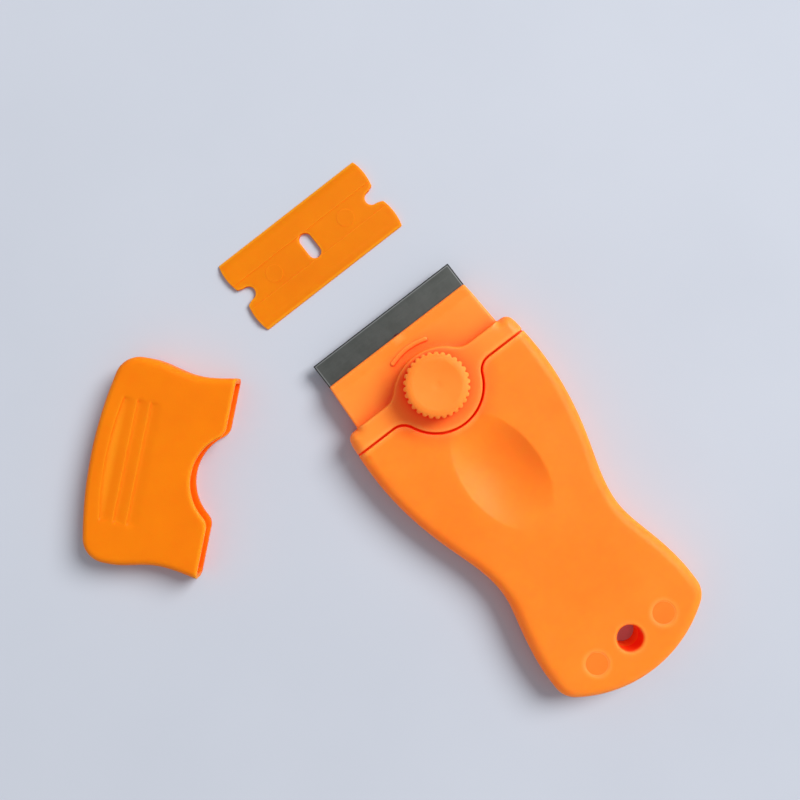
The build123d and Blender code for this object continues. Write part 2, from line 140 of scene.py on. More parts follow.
# blades
STEEL_SIZE = (43.0, 20.0)
SPARE_SIZE = (44.7, 20.8)
BLADE_SLOT = 1.65
STEEL_SLOT_REACH = 2.2
SPARE_SLOT_REACH = 1.95
NOTCH = dict(radius=1.8, inset=2.3, mouth=2.3)
GROUND_WIDTH = 0.6
GROUND_SHARE = 0.42             # of the thickness, taken off each face at the edge

WALL_STEP = 0.02                # width of a wall that stands almost upright in a height surface


# ---- lines in plan ----

def smooth_run(points, start, end, step=0.7):
    """Points along the cubic spline through a few points, with both end directions given."""
    given = np.array(points, float)
    gaps = np.linalg.norm(np.diff(given, axis=0), axis=1)
    count = len(given)
    system = np.eye(count)
    right = np.zeros((count, 2))
    right[0] = np.array(start) / np.linalg.norm(start)
    right[-1] = np.array(end) / np.linalg.norm(end)
    for i in range(1, count - 1):
        before, after = gaps[i - 1], gaps[i]
        system[i, i - 1:i + 2] = after, 2 * (before + after), before
        right[i] = 3 * (after / before * (given[i] - given[i - 1])
                        + before / after * (given[i + 1] - given[i]))
    slopes = np.linalg.solve(system, right)
    run = [given[0]]
    for i, gap in enumerate(gaps):
        for t in np.linspace(0, 1, max(2, int(gap / step) + 1))[1:]:
            run.append((2 * t ** 3 - 3 * t ** 2 + 1) * given[i]
                       + (t ** 3 - 2 * t ** 2 + t) * gap * slopes[i]
                       + (3 * t ** 2 - 2 * t ** 3) * given[i + 1]
                       + (t ** 3 - t ** 2) * gap * slopes[i + 1])
    return np.array(run)


def straight_run(start, end, step=0.8):
    count = max(2, int(np.hypot(end[0] - start[0], end[1] - start[1]) / step) + 1)
    return np.linspace(start, end, count)


def turns(count):
    """Evenly spaced angles once round."""
    return np.linspace(0, 2 * np.pi, count, endpoint=False)


def arc_run(centre, radius, start_deg, end_deg, step=0.5):
    """Points along an arc, both ends included; short arcs still get four."""
    count = max(4, int(abs(math.radians(end_deg - start_deg)) * radius / step) + 1)
    angles = np.radians(np.linspace(start_deg, end_deg, count))
    return np.stack([centre[0] + radius * np.cos(angles), centre[1] + radius * np.sin(angles)], 1)


def slot_loop(centre, radius, reach):
    """Closed loop of a straight slot along Y."""
    return join_runs(arc_run((centre[0], centre[1] + reach), radius, 0, 180, step=0.25),
                     arc_run((centre[0], centre[1] - reach), radius, 180, 360, step=0.25))


def circle(centre, radius, count=64):
    angles = turns(count)
    return np.stack([centre[0] + radius * np.cos(angles), centre[1] + radius * np.sin(angles)], 1)


def join_runs(*runs):
    """One run from several, dropping points that repeat."""
    joined = np.concatenate(runs)
    keep = [0]
    for i in range(1, len(joined)):
        if np.linalg.norm(joined[i] - joined[keep[-1]]) > 0.01:
            keep.append(i)
    if np.linalg.norm(joined[keep[0]] - joined[keep[-1]]) <= 0.01:
        keep.pop()
    return joined[keep]


def across(run):
    """The same run on the other side of the middle plane, in reverse."""
    return run[::-1] * (-1, 1)


def humped_line(line_y, centre_y, radius, blend, half):
    """Straight edge with a round hump in the middle, blended at both feet, left to right."""
    foot_x = math.sqrt((radius + blend) ** 2 - (line_y + blend - centre_y) ** 2)
    slope = math.degrees(math.atan2(line_y + blend - centre_y, foot_x))
    right = np.concatenate([
        arc_run((0, centre_y), radius, 90, slope),
        arc_run((foot_x, line_y + blend), blend, 180 + slope, 270),
        straight_run((foot_x, line_y), (half, line_y))])
    return join_runs(across(right), right)


def closed_end(side, end_y, end_radius, corner_radius, way):
    """A right side carried on round a corner and a bowed end (way: -1 down, 1 up) to the left."""
    corner_x = side[-1][0] - corner_radius
    centre_y = end_y - way * end_radius
    corner_y = centre_y + way * math.sqrt((end_radius - corner_radius) ** 2 - corner_x ** 2)
    turn = math.degrees(math.atan2(corner_y - centre_y, corner_x))
    corner = arc_run((corner_x, corner_y), corner_radius, 0, turn)
    end = arc_run((0, centre_y), end_radius, turn, way * 90, step=0.7)
    right = join_runs(side, straight_run(side[-1], corner[0]), corner, end)
    return join_runs(right, across(right))


def body_side():
    """Side of the handle from its right front corner round the tail to the left."""
    return closed_end(smooth_run(HANDLE_SIDE, (0.1, -1), (0, -1)), TAIL_Y, TAIL_RADIUS, TAIL_CORNER, -1)


def gap_line(back, half):
    """Edge of the gap behind the clamp, moved back from the clamp's own edge."""
    line = humped_line(SCREW_Y - GAP_Y + back, 0, GAP_RADIUS + back, GAP_BLEND - back, half)
    return np.column_stack([line[:, 0], SCREW_Y - line[:, 1]])


def below(run, limit):
    """The stretch of a run under a height in plan, cut exactly on it at both ends."""
    under = np.flatnonzero(run[:, 1] < limit - 0.02)
    first, last = under[0], under[-1]

    def cut(inner, outer):
        share = (limit - inner[1]) / (outer[1] - inner[1])
        return inner + share * (outer - inner)

    return np.concatenate([[cut(run[first], run[first - 1])], run[first:last + 1],
                           [cut(run[last], run[last + 1])]])


def distance(points, run, closed=False):
    """Distance of every point from a run of straight pieces."""
    starts = run if closed else run[:-1]
    ends = np.roll(run, -1, axis=0) if closed else run[1:]
    along = ends - starts
    length2 = np.maximum((along ** 2).sum(1), 1e-12)
    best = np.full(len(points), 1e9)
    for block in range(0, len(points), 4000):
        rel = points[block:block + 4000, None] - starts
        t = np.clip((rel * along).sum(2) / length2, 0, 1)
        gap = rel - t[..., None] * along
        best[block:block + 4000] = np.sqrt((gap ** 2).sum(2)).min(1)
    return best


def off(points, centre=(0, 0)):
    """Distance of every point from a centre."""
    return np.hypot(points[:, 0] - centre[0], points[:, 1] - centre[1])


def folded(points):
    """The points with the left half laid over the right."""
    return np.abs(points * (1, 0)) + points * (0, 1)


def inside(points, loop):
    """True for the points inside a closed loop."""
    x, y = points[:, 0], points[:, 1]
    hit = np.zeros(len(points), bool)
    for (x0, y0), (x1, y1) in zip(loop, np.roll(loop, -1, axis=0)):
        crosses = (y0 > y) != (y1 > y)
        if crosses.any():
            hit ^= crosses & (x < (x1 - x0) * (y - y0) / ((y1 - y0) or 1e-12) + x0)
    return hit


def beside(run, gap, closed=False):
    """The run moved sideways: to its left for a positive gap."""
    if closed:
        along = np.roll(run, -1, axis=0) - np.roll(run, 1, axis=0)
    else:
        along = np.gradient(run, axis=0)
    along = along / np.linalg.norm(along, axis=1)[:, None]
    return run + gap * np.stack([-along[:, 1], along[:, 0]], 1)


def steps_in(radius, count=6):
    """Distances from an edge at which its rounding is sampled."""
    return [radius * (1 - math.cos(math.pi / 2 * k / count)) for k in range(1, count + 1)]


def rounded(gap, radius):
    """How far a rounded edge has dropped at a distance from it."""
    left = np.clip(radius - gap, 0, radius)
    return radius - np.sqrt(radius ** 2 - left ** 2)


# ---- surfaces over a plan ----

def relief(loops, guides, height, grid):
    """Triangles over a plan bounded by loops, following guide runs, at a height for each point.

    Returns the points in space, the triangles, and for each loop the numbers of its points.
    """
    outer, holes = loops[0], loops[1:]
    points, edges, loop_numbers = [], [], []
    for loop in loops:
        first = len(points)
        points.extend(loop)
        loop_numbers.append(list(range(first, first + len(loop))))
        edges.extend((first + i, first + (i + 1) % len(loop)) for i in range(len(loop)))

    def within(candidates, margin):
        ok = inside(candidates, outer)
        for hole in holes:
            ok &= ~inside(candidates, hole)
        near = np.min([distance(candidates, loop, closed=True) for loop in loops], axis=0)
        return ok & (near > margin)

    for run, closed in guides:
        keep = within(run, 0.012)
        numbers = np.full(len(run), -1)
        numbers[keep] = len(points) + np.arange(keep.sum())
        points.extend(run[keep])
        last = len(run) if closed else len(run) - 1
        for i in range(last):
            a, b = numbers[i], numbers[(i + 1) % len(run)]
            if a >= 0 and b >= 0:
                edges.append((a, b))
    low, high = outer.min(0), outer.max(0)
    rows = np.arange(low[1], high[1], grid * 0.87)
    cloud = [(x + grid / 2 * (k % 2), y) for k, y in enumerate(rows)
             for x in np.arange(low[0], high[0], grid)]
    cloud = np.array(cloud)
    cloud = cloud[within(cloud, grid * 0.55)]
    placed = np.array(points)
    for block in range(0, len(placed), 500):
        near = placed[block:block + 500]
        gap = ((cloud[:, None] - near) ** 2).sum(2).min(1)
        cloud = cloud[gap > (grid * 0.5) ** 2]
    points.extend(cloud)
    flat_points = [tuple(map(float, p)) for p in points]
    flat, _, faces, origin, _, _ = delaunay_2d_cdt(flat_points, edges, [], 0, 1e-6)
    xy = np.array([(p[0], p[1]) for p in flat])
    numbers = {}
    for new, olds in enumerate(origin):
        for old in olds:
            numbers[old] = new
    faces = np.array(faces)
    middle = xy[faces].mean(1)
    keep = inside(middle, outer)
    for hole in holes:
        keep &= ~inside(middle, hole)
    faces = faces[keep]
    a, b, c = xy[faces[:, 0]], xy[faces[:, 1]], xy[faces[:, 2]]
    turn = (b[:, 0] - a[:, 0]) * (c[:, 1] - a[:, 1]) - (b[:, 1] - a[:, 1]) * (c[:, 0] - a[:, 0])
    faces[turn < 0] = faces[turn < 0][:, ::-1]
    space = np.column_stack([xy, height(xy)])
    return space, faces, [[numbers[i] for i in loop] for loop in loop_numbers]


def plate(name, loops, top, bottom, top_guides=(), bottom_guides=(), grid=1.2, crease_deg=38):
    """A closed body: one relief on top, one underneath, and walls round every loop."""
    up, up_faces, up_loops = relief(loops, top_guides, top, grid)
    down, down_faces, down_loops = relief(loops, bottom_guides, bottom, grid * 1.6)
    shift = len(up)
    faces = [tuple(f) for f in up_faces] + [tuple(f[::-1] + shift) for f in down_faces]
    for loop, above, under in zip(loops, up_loops, down_loops):
        following = np.roll(loop, -1, axis=0)
        area = (loop[:, 0] * following[:, 1] - following[:, 0] * loop[:, 1]).sum()
        outward = area > 0
        if loop is not loops[0]:
            outward = not outward
        for i in range(len(loop)):
            k = (i + 1) % len(loop)
            wall = (above[i], under[i] + shift, under[k] + shift, above[k])
            faces.append(wall if outward else wall[::-1])
    return mesh_piece(name, np.concatenate([up, down]), faces, crease_deg)


def in_scene(name, data):
    """A new object in the scene."""
    made = bpy.data.objects.new(name, data)
    bpy.context.scene.collection.objects.link(made)
    return made


def mesh_piece(name, points_mm, faces, crease_deg=38):
    """A mesh object from points in millimetres, smooth but for its creases."""
    used = sorted({int(i) for f in faces for i in f})
    renumber = {old: new for new, old in enumerate(used)}
    mesh = bpy.data.meshes.new(name)
    mesh.from_pydata((np.asarray(points_mm)[used] * MM).tolist(), [],
                     [[renumber[int(i)] for i in f] for f in faces])
    mesh.validate()
    mesh.polygons.foreach_set("use_smooth", [True] * len(mesh.polygons))
    mesh.set_sharp_from_angle(angle=math.radians(crease_deg))
    return in_scene(name, mesh)


def place(piece, node, body, material):
    """Hands a finished piece over: it replaces its model part and rides on its body."""
    piece.data.materials.append(material)
    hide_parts(node)
    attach(piece, body)


def levelled(z, xy, fittings):
    """Heights with pockets and pegs put in: each fitting is a loop and its level."""
    for loop, level in fittings:
        z = np.where(inside(xy, beside(loop, WALL_STEP / 2, True)), level, z)
    return z


def wall_guides(run, closed=False):
    """The two runs that a steep wall stands between."""
    return [(run, closed), (beside(run, WALL_STEP, closed), closed)]


def fitting_guides(fittings):
    return [guide for loop, _ in fittings for guide in wall_guides(loop, True)]


def cross_guide(y):
    """A guide straight across the piece."""
    return straight_run((-30, y), (30, y)), False


def edge_guides(run, radius, count=6, closed=False, side=1):
    """Runs beside an edge that sample its rounding."""
    return [(beside(run, side * gap, closed), closed) for gap in steps_in(radius, count)]


def ring_guides(centre, radius, rounding, count=3):
    return [(circle(centre, radius + gap), True) for gap in steps_in(rounding, count)]


# ---- the handle ----

HANG_RIM = 0.8
HANG_RIM_BELOW = 0.12
PIN_RIM = 0.55
PIN_RECESS = BODY_TOP - PIN_TOP
PIN_CENTRES = ((-PIN_X, 0.0), (PIN_X, 0.0))


def handle_holes():
    """The hanging hole and the two pin holes."""
    return [circle((0, 0), HANG_RADIUS)] + [circle(c, PIN_RADIUS, 48) for c in PIN_CENTRES]


def dish_depth(xy):
    """Depth of the thumb dish: crisp along its sides, running out softly at its ends."""
    x = xy[:, 0] / DISH_HALF[0]
    y = (xy[:, 1] - DISH_Y) / DISH_HALF[1]
    along = np.clip(1 - y ** 2, 0, 1)
    bowl = along - x ** 2
    bowl = (bowl + np.sqrt(bowl ** 2 + DISH_RIM_SOFTNESS)) / 2
    return DISH_DEPTH * (1 + DISH_TILT * y) * along ** DISH_RUNOUT * bowl


def dish_guides():
    """Ovals that sample the dish, closest together at its rim."""
    return [(circle((0, 0), 1.0, 120) * (DISH_HALF[0] * size, DISH_HALF[1] * size) + (0, DISH_Y), True)
            for size in (0.35, 0.7, 0.9, 0.96, 1.0, 1.04)]


def make_upper_shell(material):
    """Upper shell: rounded top, thumb dish, and the front edge along the gap."""
    side = body_side()
    trimmed = below(side, GAP_Y - GAP)
    gap_edge = gap_line(GAP, trimmed[0][0])
    outer = join_runs(trimmed, gap_edge)

    def top(xy):
        z = BODY_TOP - rounded(distance(xy, side), TOP_ROUND) - dish_depth(xy)
        z -= rounded(distance(xy, gap_edge), GAP_ROUND)
        z -= rounded(np.abs(off(xy) - HANG_RADIUS), HANG_RIM)
        for centre in PIN_CENTRES:
            out = np.clip((off(xy, centre) - PIN_RADIUS) / PIN_RIM, 0, 1)
            z -= PIN_RECESS * (1 - out) ** 2 * (1 + 2 * out)
        return z

    def bottom(xy):
        return SEAM_Z + rounded(distance(xy, side), SEAM_ROUND)

    guides = edge_guides(side, TOP_ROUND, 8, side=-1) + edge_guides(gap_edge, GAP_ROUND, 4, side=-1)
    guides += dish_guides() + ring_guides((0, 0), HANG_RADIUS, HANG_RIM, 5)
    for centre in PIN_CENTRES:
        guides += ring_guides(centre, PIN_RADIUS, PIN_RIM, 5)
    piece = plate("upper_shell", [outer] + handle_holes(), top, bottom, guides,
                  edge_guides(side, SEAM_ROUND, 2, side=-1), grid=0.9)
    place(piece, "handle_upper_shell", "handle", material)


def front_outline():
    """Right half of the front: the band's corner, the tongue's side and its front edge."""
    corner_x = HANDLE_SIDE[0][0] - BAND_CORNER + 0.1
    corner = arc_run((corner_x, BAND_FRONT - BAND_CORNER), BAND_CORNER, 0, 90, step=0.3)
    inner = arc_run((TONGUE_REAR_HALF + INNER_CORNER, BAND_FRONT + INNER_CORNER),
                    INNER_CORNER, -90, -180, step=0.15)
    nose_x = TONGUE_FRONT_HALF - NOSE_CORNER
    nose = arc_run((nose_x, TONGUE_FRONT - NOSE_CORNER), NOSE_CORNER, 2, 90, step=0.2)
    front = straight_run((nose_x, TONGUE_FRONT), (0, TONGUE_FRONT))
    return join_runs(corner, straight_run(corner[-1], inner[0]), inner,
                     straight_run(inner[-1], nose[0]), nose, front)


def side_stretch(low_y, high_y):
    """Right side of the body between two places along it, rear to front."""
    side = body_side()
    right = side[:np.argmin(side[:, 1]) + 1][::-1]
    keep = right[(right[:, 1] > low_y + 0.05) & (right[:, 1] < high_y - 0.05)]
    ends = [(np.interp(y, right[:, 1], right[:, 0]), y) for y in (low_y, high_y)]
    return np.concatenate([[ends[0]], keep, [ends[1]]])


def band_region():
    """Edge where the band and boss step down to the tongue, and the plan behind it."""
    edge = humped_line(BAND_FRONT, BOSS_CENTRE, BOSS["radius"], BOSS["blend"], 40)
    region = np.concatenate([edge, [(40, -40), (-40, -40)]])
    return edge, region


def step_guides(edge):
    """Runs that sample the rounded step: top rounding, wall and foot."""
    guides = wall_guides(edge) + edge_guides(edge, STEP_ROUND, 4, side=-1)
    guides += [(beside(edge, WALL_STEP + gap), False) for gap in steps_in(STEP_FOOT, 3)]
    return guides


def lower_fittings():
    """Nut pocket, screw bore, pin and guide sockets, and the pegs that hold the blade."""
    fittings = [(circle((0, SCREW_Y), NUT_POCKET, 6), nut_low[2]),
                (circle((0, SCREW_Y), SCREW_HOLE, 48), stud_low[2] - STUD_ROOM)]
    fittings += [(circle(centre, PIN_RADIUS, 48), pin_low[2]) for centre in PIN_CENTRES]
    notch_x = STEEL_SIZE[0] / 2 - NOTCH["inset"]
    for side in (-1, 1):
        socket = circle((side * GUIDE_PEG["x"], GUIDE_PEG["y"]), GUIDE_SOCKET["radius"], 32)
        notch_peg = circle((side * notch_x, BLADE_CENTRE), NOTCH_PEG["radius"], 32)
        fittings += [(socket, GUIDE_SOCKET["low"]), (notch_peg, SEAT_Z + NOTCH_PEG["height"])]
    middle_peg = slot_loop((0, MIDDLE_PEG["y"]), MIDDLE_PEG["radius"], MIDDLE_PEG["reach"])
    return fittings + [(middle_peg, SEAT_Z + MIDDLE_PEG["height"])]


def clamp_fittings():
    """Guide pegs under the clamp and the pocket over the blade's middle peg."""
    pegs = [(circle((side * GUIDE_PEG["x"], GUIDE_PEG["y"]), GUIDE_PEG["radius"], 32), GUIDE_PEG["low"])
            for side in (-1, 1)]
    pocket = slot_loop((0, MIDDLE_PEG["y"]), BLADE_SLOT, MIDDLE_POCKET["reach"])
    return pegs + [(pocket, SEAT_Z + MIDDLE_POCKET["height"])]


def rib_guides():
    """Outlines of the raised arc on the tongue, one inside the other, and its centre line."""
    radius = RIB["radius"]
    start, end = 90 - RIB["span"] / 2, 90 + RIB["span"] / 2
    guides = []
    for share in (0.0, 0.55, 0.8, 0.93, 1.0):
        reach = RIB["width"] / 2 * share
        far = arc_run(RIB_CENTRE, radius + reach, start, end)
        if share == 0:
            guides.append((far, False))
            continue
        near = arc_run(RIB_CENTRE, radius - reach, end, start)
        caps = []
        for angle, first in ((end, end), (start, start + 180)):
            way = np.array([math.cos(math.radians(angle)), math.sin(math.radians(angle))])
            caps.append(arc_run(RIB_CENTRE + radius * way, reach, first, first + 180, step=0.12))
        guides.append((join_runs(far, caps[0], near, caps[1]), True))
    return guides


def make_clamp_plate(material):
    """Clamp: band level with the handle, boss, and the thin tongue over the blade."""
    side = body_side()
    corner_y = BAND_FRONT - BAND_CORNER
    half = side_stretch(GAP_Y, corner_y)
    gap_edge = gap_line(0, half[0][0])
    right = join_runs(half, front_outline())
    outer = join_runs(right, across(right), gap_edge)
    band_edge, band_plan = band_region()
    tongue_side = right[right[:, 1] > BAND_FRONT + 0.3]
    tongue_rim = join_runs(tongue_side, across(tongue_side))
    corner_run = right[(right[:, 1] <= BAND_FRONT + 0.01)]
    corner_run = corner_run[corner_run[:, 1] > GAP_Y - 1]
    slope_start = TONGUE_FRONT - TONGUE_SLOPE[0]
    rib_run = rib_guides()[0][0]
    rear_line = steel_low[1] + 0.05

    def top(xy):
        behind = inside(xy, band_plan)
        off_edge = distance(xy, band_edge)
        off_side = distance(folded(xy), corner_run)
        band = BODY_TOP - np.maximum(rounded(off_side, TOP_ROUND), rounded(off_edge, STEP_ROUND))
        band -= rounded(distance(xy, gap_edge), GAP_ROUND)
        drop = np.clip(xy[:, 1] - slope_start, 0, None) / TONGUE_SLOPE[0]
        drop = TONGUE_SLOPE[1] * drop * np.clip(drop * 3, 0, 1) ** 0.5
        tongue = TONGUE_TOP - drop - rounded(distance(xy, tongue_rim), TONGUE_ROUND) * TONGUE_ROUND_DROP
        tongue += rounded(np.clip(off_edge - WALL_STEP, 0, None), STEP_FOOT)
        ridge = 1 - (distance(xy, rib_run) / (RIB["width"] / 2)) ** 4
        tongue += RIB["height"] * np.sqrt(np.clip(ridge, 0, 1))
        on_step = off_edge < WALL_STEP / 2
        recess = off(xy, (0, SCREW_Y)) < RECESS_RADIUS - WALL_STEP / 2
        return np.where(recess, RECESS_FLOOR, np.where(behind | on_step, band, tongue))

    def bottom(xy):
        under_tongue = (xy[:, 1] > rear_line + WALL_STEP / 2) & (np.abs(xy[:, 0]) < TONGUE_UNDER_HALF)
        under_tongue |= xy[:, 1] > BAND_FRONT + 0.15
        return levelled(np.where(under_tongue, BLADE_TOP, SEAM_Z), xy, clamp_fittings())

    guides = step_guides(band_edge) + edge_guides(gap_edge, GAP_ROUND, 4, side=1)
    guides += edge_guides(side, TOP_ROUND, 8, side=-1)
    guides += edge_guides(corner_run, TOP_ROUND * 0.9, 6, side=1)
    guides += edge_guides(across(corner_run), TOP_ROUND * 0.9, 6, side=1)
    guides += edge_guides(tongue_rim, TONGUE_ROUND, 4, side=1)
    guides += [cross_guide(slope_start + k) for k in (0, 0.4, 0.8, 1.2)] + rib_guides()
    guides += [(circle((0, SCREW_Y), RECESS_RADIUS - step), True) for step in (0, WALL_STEP)]
    seat_guides = [cross_guide(rear_line + k) for k in (0, WALL_STEP)] + fitting_guides(clamp_fittings())
    screw_hole = circle((0, SCREW_Y), SCREW_HOLE, 48)
    piece = plate("clamp_plate_moulding", [outer, screw_hole], top, bottom, guides, seat_guides, grid=0.9)
    place(piece, "clamp_plate", "clamp", material)


def make_lower_shell(material):
    """Lower shell with the jaw that the blade lies on."""
    side = body_side()
    corner_y = BAND_FRONT - BAND_CORNER
    lower = below(side, corner_y)
    right = front_outline()
    outer = join_runs(lower[::-1], right, across(right))
    band_edge, band_plan = band_region()
    seat_half = STEEL_SIZE[0] / 2 + SEAT_ROOM[0]
    seat_y = steel_low[1] - SEAT_ROOM[1]

    def top(xy):
        seat = (xy[:, 1] > seat_y + WALL_STEP / 2) & (np.abs(xy[:, 0]) < seat_half + WALL_STEP / 2)
        z = np.where(seat, SEAT_Z, SEAM_Z)
        tongue = (~inside(xy, band_plan)) & (distance(xy, band_edge) > WALL_STEP / 2)
        z = np.where(tongue, SEAT_Z, z) - rounded(distance(xy, side), SEAM_ROUND)
        return levelled(z, xy, lower_fittings())

    def bottom(xy):
        behind = inside(xy, band_plan) | (distance(xy, band_edge) < WALL_STEP / 2)
        off_corner = distance(folded(xy), right[right[:, 1] <= BAND_FRONT + 0.01])
        off_side = np.minimum(distance(xy, side), off_corner)
        off_step = distance(xy, band_edge)
        body = np.maximum(rounded(off_side, BOTTOM_ROUND), rounded(off_step, JAW_STEP_ROUND))
        body += rounded(np.abs(off(xy) - HANG_RADIUS), HANG_RIM_BELOW)
        return np.where(behind, body, JAW_BOTTOM)

    seat_line = np.array([(-seat_half, BAND_FRONT + 1), (-seat_half, seat_y), (seat_half, seat_y),
                          (seat_half, BAND_FRONT + 1)])
    seat_run = join_runs(*[straight_run(a, b) for a, b in zip(seat_line, seat_line[1:])])
    top_guides = wall_guides(seat_run) + wall_guides(band_edge) + fitting_guides(lower_fittings())
    bottom_guides = wall_guides(band_edge) + edge_guides(band_edge, JAW_STEP_ROUND, 3, side=-1)
    bottom_guides += edge_guides(side, BOTTOM_ROUND, 6, side=-1)
    bottom_guides += ring_guides((0, 0), HANG_RADIUS, HANG_RIM_BELOW, 2)
    piece = plate("lower_shell", [outer, circle((0, 0), HANG_RADIUS)], top, bottom,
                  top_guides, bottom_guides, grid=1.1)
    place(piece, "handle_lower_shell", "handle", material)


def strip(row, after, columns):
    """Quads between two rows of points that run round a piece."""
    return [(row * columns + i, row * columns + (i + 1) % columns,
             after * columns + (i + 1) % columns, after * columns + i) for i in range(columns)]


def turned(name, profile, columns, centre=(0.0, 0.0), radius_at=None):
    """A turned piece: rows of a profile (radius, height) swept round, closed at both ends."""
    angles = turns(columns)
    points = []
    for radius, z in profile:
        reach = np.full(columns, radius) if radius_at is None else radius_at(angles, radius, z)
        ring = np.column_stack([centre[0] + reach * np.cos(angles),
                                centre[1] + reach * np.sin(angles), np.full(columns, z)])
        points.extend(ring)
    faces = []
    for row in range(len(profile) - 1):
        faces += strip(row, row + 1, columns)
    for row, flip in ((0, True), (len(profile) - 1, False)):
        middle = len(points)
        points.append((centre[0], centre[1], profile[row][1]))
        for i in range(columns):
            k = (i + 1) % columns
            fan = (row * columns + i, row * columns + k, middle)
            faces.append(fan[::-1] if flip else fan)
    return mesh_piece(name, np.array(points), faces)


def make_joining_pins(material):
    """Pins through both shells, their ends flush with the floor of two shallow recesses."""
    for node, (cx, cy) in zip(("joining_pin_left", "joining_pin_right"), PIN_CENTRES):
        profile = [(PIN_RADIUS * share, pin_low[2]) for share in (0.3, 0.7, 0.95)]
        profile += [(PIN_RADIUS, pin_low[2] + 0.15), (PIN_RADIUS, PIN_TOP)]
        profile += [(PIN_RADIUS * share, PIN_TOP) for share in (0.98, 0.8, 0.5, 0.2)]
        piece = turned(node + "_rod", profile, 48, (cx, cy))
        place(piece, node, "handle", material)


KNOB_TEETH = 30
TOOTH_RADIUS = 0.58
KNOB_SHOULDER = (2.3, 1.9)      # width and drop of the rounding above the teeth
KNOB_HOLLOW = 0.55
GATE_MARK = 0.1
WASHER_HOLE = 2.1


def make_knob(material):
    """Knob: teeth round the side, a rounded shoulder and a shallow hollow on top."""
    outer = (knob_high[0] - knob_low[0]) / 2
    root = outer - TOOTH_RADIUS
    low, high = knob_low[2], knob_high[2]
    wide, deep = KNOB_SHOULDER

    def toothed(angles, radius, z):
        pitch = 2 * np.pi / KNOB_TEETH
        phase = angles % pitch - pitch / 2
        along = np.abs(phase) * root
        tooth = root + np.sqrt(np.clip(TOOTH_RADIUS ** 2 - along ** 2, 0, None))
        soft = (tooth + radius - np.sqrt((tooth - radius) ** 2 + 0.01)) / 2
        return np.where(radius < root - 0.8, radius, soft)

    big = outer + 0.3
    profile = [(root - 1.2, low), (root - 0.4, low), (outer - 0.25, low + 0.02),
               (big - 0.2, low + 0.15), (big, low + 0.4)]
    profile += [(big, z) for z in np.linspace(low + 0.9, high - deep - 0.3, 7)]
    for k in range(15):
        turn = math.pi / 2 * k / 14
        profile.append((big - wide + wide * math.cos(turn), high - deep + deep * math.sin(turn)))
    rim = profile[-1][0]
    for share in (0.97, 0.94, 0.9, 0.85, 0.78, 0.7, 0.6, 0.5, 0.4, 0.3, 0.22, 0.16, 0.11, 0.06, 0.02):
        hollow = KNOB_HOLLOW * (1 - (share / 0.97) ** 2) ** 1.1
        gate = GATE_MARK * math.exp(-(share / 0.16) ** 4)
        profile.append((rim * share, high - hollow - gate))
    piece = turned("knob_moulding", profile, KNOB_TEETH * 14, (0, SCREW_Y), toothed)
    place(piece, "clamp_knob", "knob", material)


THREAD_PITCH = 0.7
THREAD_DEPTH = 0.35


def thread(radius):
    """Reach of a screw thread's crest and root round a rod, for each angle and height."""
    def reach(angles, _, z):
        wave = 0.5 + 0.5 * np.cos(2 * np.pi * (z / THREAD_PITCH) - angles)
        return radius - THREAD_DEPTH * (1 - wave)
    return reach


def hexagon(flats, low, high, chamfer):
    """Reach of a nut's outside, its corners cut by a chamfer at both faces."""
    def reach(angles, _, z):
        turn = (angles + np.pi / 6) % (np.pi / 3) - np.pi / 6
        side = flats / 2 / np.cos(turn)
        from_face = min(z - low, high - z)
        return np.minimum(side, flats / 2 + 0.15 + from_face / chamfer)
    return reach


def ring_piece(name, rows, columns):
    """A ring about the screw from closed rows of (reach for each angle, height)."""
    angles = turns(columns)
    points, faces = [], []
    for reach, z in rows:
        spread_out = reach(angles, 0, z) if callable(reach) else np.full(columns, reach)
        points.append(np.column_stack([spread_out * np.cos(angles), SCREW_Y + spread_out * np.sin(angles),
                                       np.full(columns, z)]))
    for row in range(len(rows)):
        faces += strip(row, (row + 1) % len(rows), columns)
    return mesh_piece(name, np.concatenate(points), faces)


def make_screw_parts(material):
    """Threaded stud fixed in the knob, washer under the knob and hexagon nut in the shell."""
    radius = (stud_high[0] - stud_low[0]) / 2
    cut = thread(radius)
    heights = np.arange(stud_low[2] + 0.3, stud_high[2] - 0.29, THREAD_PITCH / 8)
    profile = [(radius * share, stud_low[2]) for share in (0.3, 0.6, 0.78)]
    profile += [(radius, z) for z in heights]
    profile += [(radius * share, stud_high[2]) for share in (0.78, 0.6, 0.3)]

    def stud_reach(angles, row_radius, z):
        return cut(angles, row_radius, z) if row_radius == radius else np.full(len(angles), row_radius)

    stud = turned("stud_thread", profile, 40, (0, SCREW_Y), stud_reach)
    place(stud, "knob_stud", "knob", material)
    low, high = washer_low[2], washer_high[2]
    outer, inner = (washer_high[0] - washer_low[0]) / 2, WASHER_HOLE
    rows = [(inner, low), (outer - 0.1, low), (outer, low + 0.1), (outer, high - 0.1),
            (outer - 0.1, high), (inner + 0.08, high), (inner, high - 0.08)]
    place(ring_piece("washer_ring", rows, 64), "knob_washer", "knob", material)
    low, high = nut_low[2], nut_high[2]
    outside = hexagon(nut_high[1] - nut_low[1], low, high, 0.55)
    bore = thread(radius + 0.05)
    rows = [(radius + 0.2, low), (outside, low)]
    rows += [(outside, z) for z in np.linspace(low, high, 12)[1:-1]]
    rows += [(outside, high), (radius + 0.2, high)]
    rows += [(bore, z) for z in np.arange(high - 0.15, low + 0.1, -THREAD_PITCH / 8)]
    place(ring_piece("nut_hexagon", rows, 96), "captive_nut", "handle", material)


# ---- blades ----

